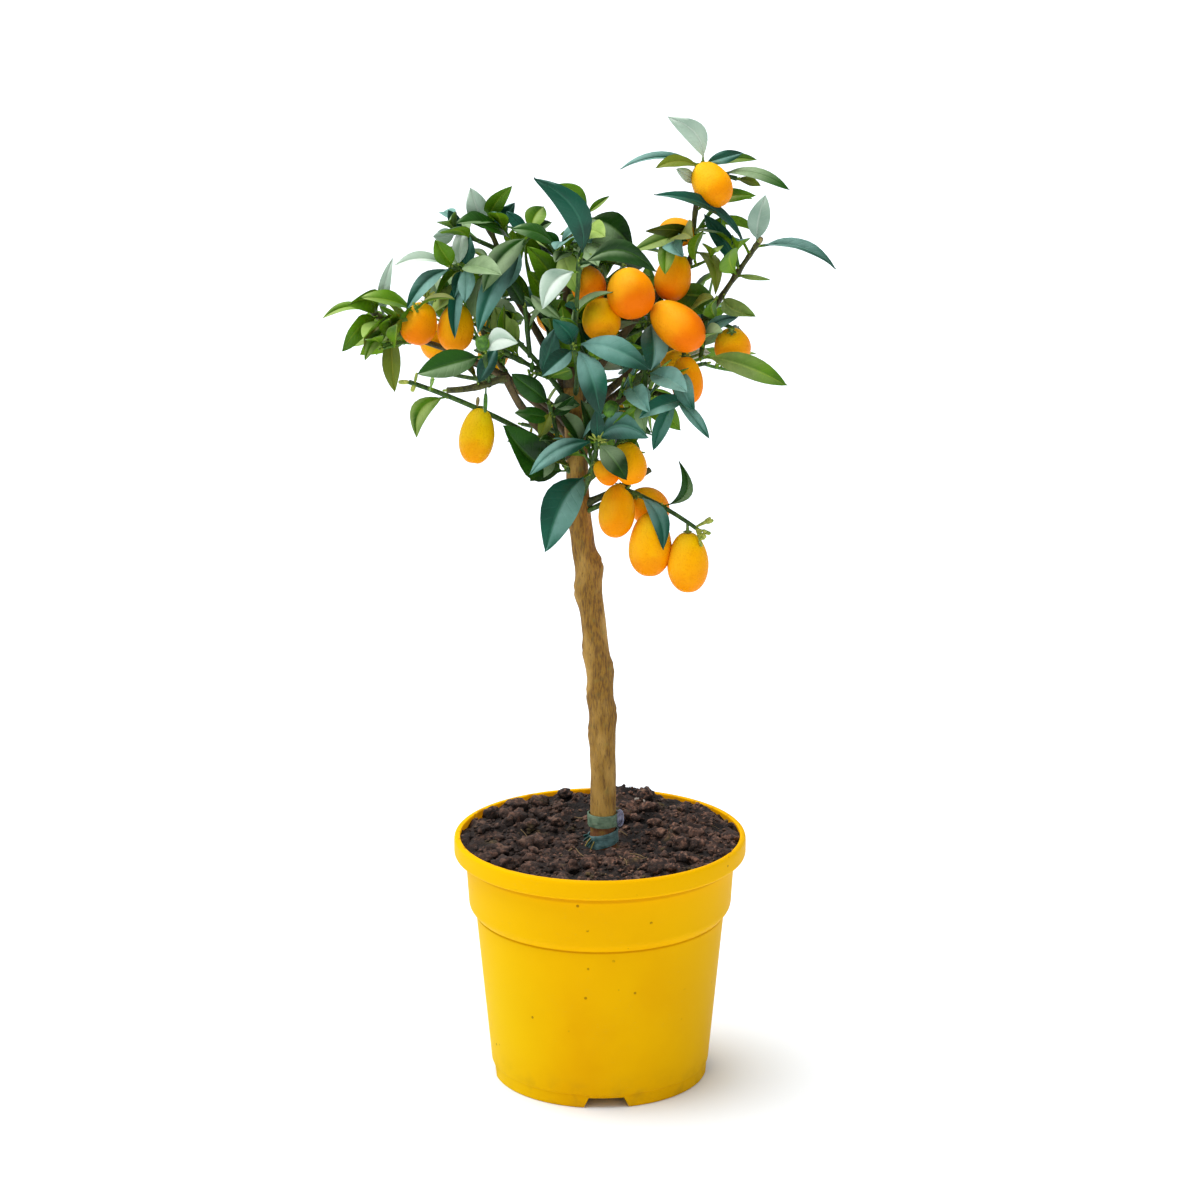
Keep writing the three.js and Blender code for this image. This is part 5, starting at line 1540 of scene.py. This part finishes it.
def leaf_finish(name, dark, light, vein, sheen_colour, sheen_strength, rough, gloss):
    """A leaf's face: cloudy colour, a midrib with side veins, and painted sheen: a pale colour laid
    on in patches where the blade faces up towards the light's side."""
    leaf = Finish(name)
    across, along = abs(leaf.line("X") * 2 - 1), leaf.line("Y")
    midrib = 1 - leaf.step(across, 0.04, 0.13)
    slant = along * 9 - across * 1.3
    ladder = slant.maths("PINGPONG", slant, 0.5)
    veins = (1 - leaf.step(ladder, 0.02, 0.12)) * leaf.step(across, 0.05, 0.2)
    clouds = leaf.grain(14, detail=4)
    # Painted sheen: leaves that face up towards the light get a pale colour in patches.
    sheen_side = leaf.step(leaf.facing(*LEAF_LIGHT_SIDE), 0.52, 0.95)
    dust_and_sheen = sheen_side * (0.36 + leaf.grain(9, detail=5)) * sheen_strength
    shade = leaf.blend(leaf.step(leaf.grain(40, detail=2), 0.36, 0.64), dark, light)
    shade = leaf.tint(shade, leaf.step(clouds, 0.45, 0.7) * 0.3, light)
    shade = leaf.tint(shade, midrib * 0.35 + veins * 0.06, vein)
    shade = leaf.tint(shade, dust_and_sheen, sheen_colour)
    leaf.coat(
        relief=leaf.grain(2.2) * 0.4 - midrib * 0.8 - veins * 0.25,
        depth=0.35,
        Base_Color=shade,
        Roughness=rough + 0.16 * clouds + 0.2 * dust_and_sheen,
        Specular_IOR_Level=gloss,
    )
    return leaf.material


# The fourth colour of each is its painted sheen, and the number after it how strongly it is laid
# on.
leaf_finishes = [
    leaf_finish("leaf_blue_green", "0a3626", "125640", "3d7c60", "98ccc0", 0.6, 0.3, 0.24),
    leaf_finish("leaf_deep_green", "0d2c05", "24540e", "487420", "b4d09c", 0.6, 0.3, 0.22),
    leaf_finish("leaf_fresh_green", "2f5800", "5e8c06", "93b02a", "c8dc80", 0.5, 0.33, 0.22),
    # Painted sheen: the pale tint is a sheen painted over the whole leaf.
    leaf_finish("leaf_pale_painted_sheen", "7c9884", "b4cab4", "d4dece", "e8f0e6", 0.8, 0.36, 0.3),
    leaf_finish("leaf_olive", "404c08", "6c7c12", "a0a032", "a4a85c", 0.4, 0.34, 0.25),
    leaf_finish("leaf_underside", "3c6402", "6a920e", "a6b83a", "90aa48", 0.15, 0.5, 0.15),
]
for group, members in LEAF_GROUPS.items():
    leaf_stock = Stock()
    for spray in sprays:
        if spray.plan["name"] in members:
            for *leaf, tint in spray.leaves:
                points, faces, lines = leaf_skin(*leaf)
                leaf_stock.add(points, faces, leaf_slots(LEAF_TINTS.index(tint)), lines)
    leaf_piece = leaf_stock.piece(group, leaf_finishes, crease=80)
    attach(leaf_piece, "root")
    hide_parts(*members)


# The twigs: this year's wood, still green and thin, that carries the leaves. Each grows straight
# out of the wood before it, with a small ring and a bud wherever a leaf is borne.
TWIG_SIDES, TWIG_RING_STEP, TWIG_START_INSIDE = 10, 3.5, 2.2
BUD_LENGTH, BUD_RADIUS = 2.6, 0.9
BUD_OUT, BUD_ABOVE, END_BUD_OUT = 1.9, 1.5, 1.2
OVAL_BLUNTNESS = 0.5
RING_RISE, RING_LENGTH, BORNE_WITHIN = 0.22, 2.2, 1.5

twig_stock = Stock()


def oval(middle, direction, length, width, sides=8, rings=7):
    """A rounded body along a direction, such as a bud or a small green fruit."""
    places = (1 - np.cos(np.linspace(0.12, 1, rings) * math.pi * 0.97)) / 2
    line = middle + direction * length * (places - 0.5)[:, None]
    radius = width / 2 * (np.sin(np.arccos(1 - 2 * places)) + 0.001) ** OVAL_BLUNTNESS
    return tube(line, radius, sides, square_to(direction, FRONT)[0])


def grow_twig(limb, slot, leaf_roots):
    """A twig's skin along its limb, with a ring at each leaf it bears."""
    steps = max(6, int(limb.length / TWIG_RING_STEP))
    places = np.linspace(0, 1, steps)
    line = limb.at(places)
    line[0] -= limb.back * TWIG_START_INSIDE
    radius = limb.foot * (1 - (1 - TWIG_TIP_SHARE) * places)
    for root in leaf_roots:
        near = np.linalg.norm(line - root, axis=1)
        radius = radius + RING_RISE * limb.foot * np.exp(-((near / RING_LENGTH) ** 2))
    angular = 1 + 0.07 * np.cos(3 * np.linspace(0, 2 * math.pi, TWIG_SIDES, endpoint=False))
    twig_stock.add(*tube(line, radius[:, None] * angular, TWIG_SIDES), slot)


for spray in sprays:
    for i, limb in enumerate(spray.limbs + spray.shoots):
        course = limb.at(np.linspace(0, 1, 30))
        roots = [
            root for root, *rest in spray.leaves
            if np.linalg.norm(course - root, axis=1).min() < BORNE_WITHIN
        ]
        old = i == 0 and "bough" in spray.plan
        grow_twig(limb, 0 if old else 1 + (i >= len(spray.limbs)), roots)
        tip = limb.end + limb.heading(1) * END_BUD_OUT
        twig_stock.add(*oval(tip, limb.heading(1), 1.6 * BUD_LENGTH, 2 * BUD_RADIUS), 3)
    for root, direction, normal, *rest in spray.leaves:
        up = square_to(direction, normal)[0]
        middle = root + direction * BUD_OUT + up * BUD_ABOVE
        twig_stock.add(*oval(middle, unit(direction + up), BUD_LENGTH, 1.6 * BUD_RADIUS, 6, 5), 3)


def twig_finish(name, dark, middle, light):
    """Green wood: long streaks, paler ridges and a few corky specks."""
    wood = Finish(name)
    streaks = wood.grain(2.4, (1, 1, 2), 4)
    corky = wood.step(wood.grain(1.3, detail=4), 0.6, 0.7)
    shade = wood.blend(wood.step(streaks, 0.38, 0.62), dark, middle)
    shade = wood.tint(shade, corky * 0.5, light)
    wood.coat(
        relief=streaks + corky * 0.5,
        depth=0.25,
        Base_Color=shade,
        Roughness=0.5 + 0.2 * streaks,
        Specular_IOR_Level=0.35,
    )
    return wood.material


twig_finishes = [
    twig_finish("twig_olive_brown", "303012", "4d4e1f", "767144"),
    twig_finish("twig_green", "264412", "436421", "768942"),
    twig_finish("twig_young_green", "3b641d", "5c862e", "91a74e"),
    twig_finish("bud_green", "607e26", "90a43f", "bbc471"),
]
twig_piece = twig_stock.piece("twigs_and_buds", twig_finishes, crease=70)
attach(twig_piece, "root")
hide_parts(*(spray.plan["name"] for spray in sprays))


# The fruit: ripe oval kumquats on short green stalks, each with a five-lobed green cap. The rind is
# pitted with oil glands, yellow where the stalk joins it and a deeper orange towards its end.
FRUIT_SIDES, FRUIT_RINGS = 40, 26
FRUIT_FULL_END, FRUIT_UNEVENNESS = 0.07, 0.03
FRUIT_DIP, FRUIT_DIP_RADIUS, FAR_DIP_SHARE = 1.1, 2.4, 0.8
STALK_FOOT_RADIUS, STALK_TIP_RADIUS = 0.95, 1.25
CAP_RADIUS, CAP_LOBES, CAP_SIDES = 3.4, 5, 30
FRUIT_SKINS = "dogy"
RIND_LIGHT_SIDE, PAINTED_LIT_RIND = (-0.62, -0.35, 0.7), "ffc62a"

fruit_stock = Stock()


def fruit_body(start, direction, length, width):
    """The fruit's skin: fullest past its middle, dimpled at the stalk and at its far end."""
    first, second = square_to(direction, FRONT)
    turn = np.linspace(0, math.pi, FRUIT_RINGS + 2)[1:-1]
    along = (1 - np.cos(turn)) / 2
    radius = width / 2 * np.sin(turn) ** 0.93
    radius = radius * (1 + FRUIT_FULL_END * np.sin(math.pi * (along - 0.5)))
    dip = FRUIT_DIP * np.exp(-((radius / FRUIT_DIP_RADIUS) ** 2))
    dip = dip * np.where(along < 0.5, 1, -FAR_DIP_SHARE)
    around = np.linspace(0, 2 * math.pi, FRUIT_SIDES, endpoint=False)
    out = first * np.cos(around)[:, None] + second * np.sin(around)[:, None]
    uneven = 1 + FRUIT_UNEVENNESS * np.array([
        [noise.noise(Vector(o * 1.3 + start * 0.1 + direction * a * 2)) for o in out]
        for a in along
    ])
    axis = start + direction * (length * along + dip)[:, None]
    rings = axis[:, None] + out * (radius[:, None] * uneven)[..., None]
    lines = np.stack(np.broadcast_arrays(around / 6.283, along[:, None]), -1).reshape(-1, 2)
    points, faces = loft(rings, start + direction * 1.1, start + direction * (length - 0.9))
    return points, faces, np.concatenate([lines, [(0, 0), (0, 1)]])


def fruit_cap(start, direction):
    """The green cap: a thin five-lobed star that lies on the fruit's shoulder."""
    first, second = square_to(direction, FRONT)
    rings = []
    for reach, sink in ((0.3, -0.9), (1, -0.55), (1.05, -0.1), (0.5, 0.35)):
        ring = []
        for turn in np.linspace(0, 2 * math.pi, CAP_SIDES, endpoint=False):
            lobe = 0.72 + 0.28 * math.cos(CAP_LOBES * turn)
            out = CAP_RADIUS * reach * (lobe if reach > 0.6 else 0.8)
            way = first * math.cos(turn) + second * math.sin(turn)
            ring.append(start + way * out + direction * sink)
        rings.append(ring)
    return loft(np.array(rings), start - direction * 1.0, start + direction * 1.2)


for spray in sprays:
    for (root, direction, reach, length, width), skin in zip(spray.fruit, spray.plan["skins"]):
        start = root + direction * (reach - length / 2)
        points, faces, lines = fruit_body(start, direction, length, width)
        fruit_stock.add(points, faces, FRUIT_SKINS.index(skin), lines)
        fruit_stock.add(*fruit_cap(start, direction), 4)
        places = np.linspace(0, 1, 7)[:, None]
        stalk_line = root + (start - root) * places
        widening = (STALK_TIP_RADIUS - STALK_FOOT_RADIUS) * places[:, 0] ** 2
        stalk = tube(stalk_line, STALK_FOOT_RADIUS + widening, 8, square_to(direction, FRONT)[0])
        fruit_stock.add(*stalk, 5)


def rind_finish(name, stalk_end, middle, far_end, blush):
    """Rind: the colour deepens along the fruit, under a fine pattern of oil glands, with painted
    light on the side towards the sun and painted shade on the side away from it."""
    rind = Finish(name)
    clouds = rind.grain(16, detail=3)
    drift = rind.line("Y") + (clouds - 0.5) * 0.6
    shade = rind.blend(rind.step(drift, 0.02, 0.42), stalk_end, middle)
    shade = rind.tint(shade, rind.step(drift, 0.4, 0.95), far_end)
    shade = rind.tint(shade, rind.step(rind.grain(9, detail=4), 0.6, 0.75) * 0.3, blush)
    light_facing = rind.facing(*RIND_LIGHT_SIDE)
    # Painted light and shade: yellower where the rind faces the sun, deeper orange where it faces
    # away.
    shade = rind.tint(shade, rind.step(light_facing, 0.4, 1) * 0.45, PAINTED_LIT_RIND)
    shade = rind.tint(shade, (1 - rind.step(light_facing, -0.7, 0.2)) * 0.45, far_end)
    glands = rind.node("ShaderNodeTexVoronoi", None, {"Vector": rind.place, "Scale": 720})
    pits = 1 - rind.step(glands, 0.1, 0.45)
    shade = rind.tint(shade, pits * 0.16, far_end)
    rind.coat(
        relief=1 - pits + 0.4 * rind.grain(3),
        depth=0.16,
        Base_Color=shade,
        Roughness=0.4 + 0.12 * clouds + 0.08 * pits,
        Specular_IOR_Level=0.06,
    )
    return rind.material


def green_finish(name, dark, light):
    """The soft green skin of a cap, a stalk or a bud, in two shades."""
    green = Finish(name)
    cloud = green.grain(3, detail=4)
    green.coat(
        relief=green.grain(1),
        depth=0.2,
        Base_Color=green.blend(green.step(cloud, 0.35, 0.65), dark, light),
        Roughness=0.5 + 0.2 * cloud,
    )
    return green.material


fruit_finishes = [
    rind_finish("rind_deep_orange", "ffb800", "ff9a00", "ee7200", "f28a00"),
    rind_finish("rind_orange", "ffba00", "fe9c00", "ef7e00", "f69000"),
    rind_finish("rind_golden", "ffc800", "ffb000", "f29000", "ffbe00"),
    rind_finish("rind_yellow", "eed112", "f3c300", "eb9500", "fad420"),
    green_finish("fruit_cap", "4e681d", "86983d"),
    green_finish("fruit_stalk", "3d5e1f", "6d8639"),
]
fruit_piece = fruit_stock.piece("fruit", fruit_finishes, crease=70)
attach(fruit_piece, "root")
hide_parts(*(spray.plan["name"] for spray in sprays if spray.fruit))


# Buds and young growth: knobs of unopened flowers, green fruitlets on thin stalks and the spent
# flowers at a low twig's end. They are soft and pale green, and sit where the old leaves were.
# Each: spray, limb, place along it, bearing, toward, distance to its middle, length, width, ripe.
YOUNG = [
    ("left_spray", 1, 1, 100, 10, 6.5, 9.4, 9.2, 0),
    ("centre_spray", 0, 1, 68, 10, 24, 10.5, 10.5, 0),
    ("left_spray", 0, 0.35, 268, 8, 12, 13, 2.9, 0),
    ("mid_left_spray", 0, 0.75, 265, 30, 7, 7, 3.2, 0),
    ("low_left_shoot", 0, 0.62, 84, 16, 5.5, 6, 2.6, 2),
    ("low_left_shoot", 0, 1, 178, 10, 3.5, 7, 3.2, 1),
    ("low_left_shoot", 0, 0.97, 78, 15, 5, 7, 2.2, 1),
    ("low_left_shoot", 0, 0.97, 250, 25, 3, 5, 3.2, 1),
    ("low_left_shoot", 0, 0.3, 80, 20, 3, 5, 2, 1),
    ("right_spray", 0, 1, 60, 10, 1.5, 5, 4, 2),
]
# Each bunch: spray, limb, place, bearing, spread, count, longest stalk, longest bud.
BUNCHES = [
    ("centre_spray", 0, 1, 70, 150, 16, 8, 4.6),
    ("low_spray", 1, 1, 350, 120, 13, 13, 6),
    ("far_left_spray", 1, 1, 90, 120, 8, 6, 4),
    ("far_left_spray", 0, 0.5, 80, 120, 8, 6, 4.2),
    ("upper_left_spray", 1, 0.8, 265, 100, 11, 10, 5),
    ("top_right_spray", 0, 0.3, 200, 120, 8, 7, 4),
    ("right_low_spray", 0, 0.6, 280, 120, 8, 6, 4),
]
STALK_RADII, LEAST_STALK = (0.55, 0.75), 0.3

bud_draw = np.random.default_rng(17)
bud_stock = Stock()
by_name = {spray.plan["name"]: spray for spray in sprays}


def young_growth(root, direction, reach, length, width, slot):
    """A stalk from its twig with a bud or fruitlet at the end."""
    stalk_length = max(LEAST_STALK, reach - 0.3 * length)
    stalk = root + direction * np.linspace(0, stalk_length, 4)[:, None]
    radius = np.linspace(*STALK_RADII, 4)
    bud_stock.add(*tube(stalk, radius, 6, square_to(direction, FRONT)[0]), slot)
    bud_stock.add(*oval(root + direction * reach, direction, length, width, 14, 12), slot)


for name, limb, place, bearing, toward, reach, length, width, slot in YOUNG:
    root = by_name[name].limbs[limb].at(place)
    young_growth(root, aim(bearing, toward), reach, length, width, slot)
for name, limb, place, bearing, spread, count, stalk, bud in BUNCHES:
    for i in range(count):
        root = by_name[name].limbs[limb].at(place - 0.05 * bud_draw.random())
        direction = aim(bearing + spread * (bud_draw.random() - 0.5), bud_draw.uniform(-30, 70))
        length = bud * bud_draw.uniform(0.6, 1)
        young_growth(root, direction, stalk * bud_draw.uniform(0.4, 1), length, length * 0.5, 1)
bud_finishes = [
    green_finish("green_fruitlet", "305e0a", "538417"),
    green_finish("flower_buds", "788f2a", "b6ba53"),
    green_finish("bud_scales", "64532c", "9c8b51"),
]
bud_piece = bud_stock.piece("young_growth", bud_finishes, crease=70)
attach(bud_piece, "root")
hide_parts(*sorted({row[0] for row in YOUNG + BUNCHES}))
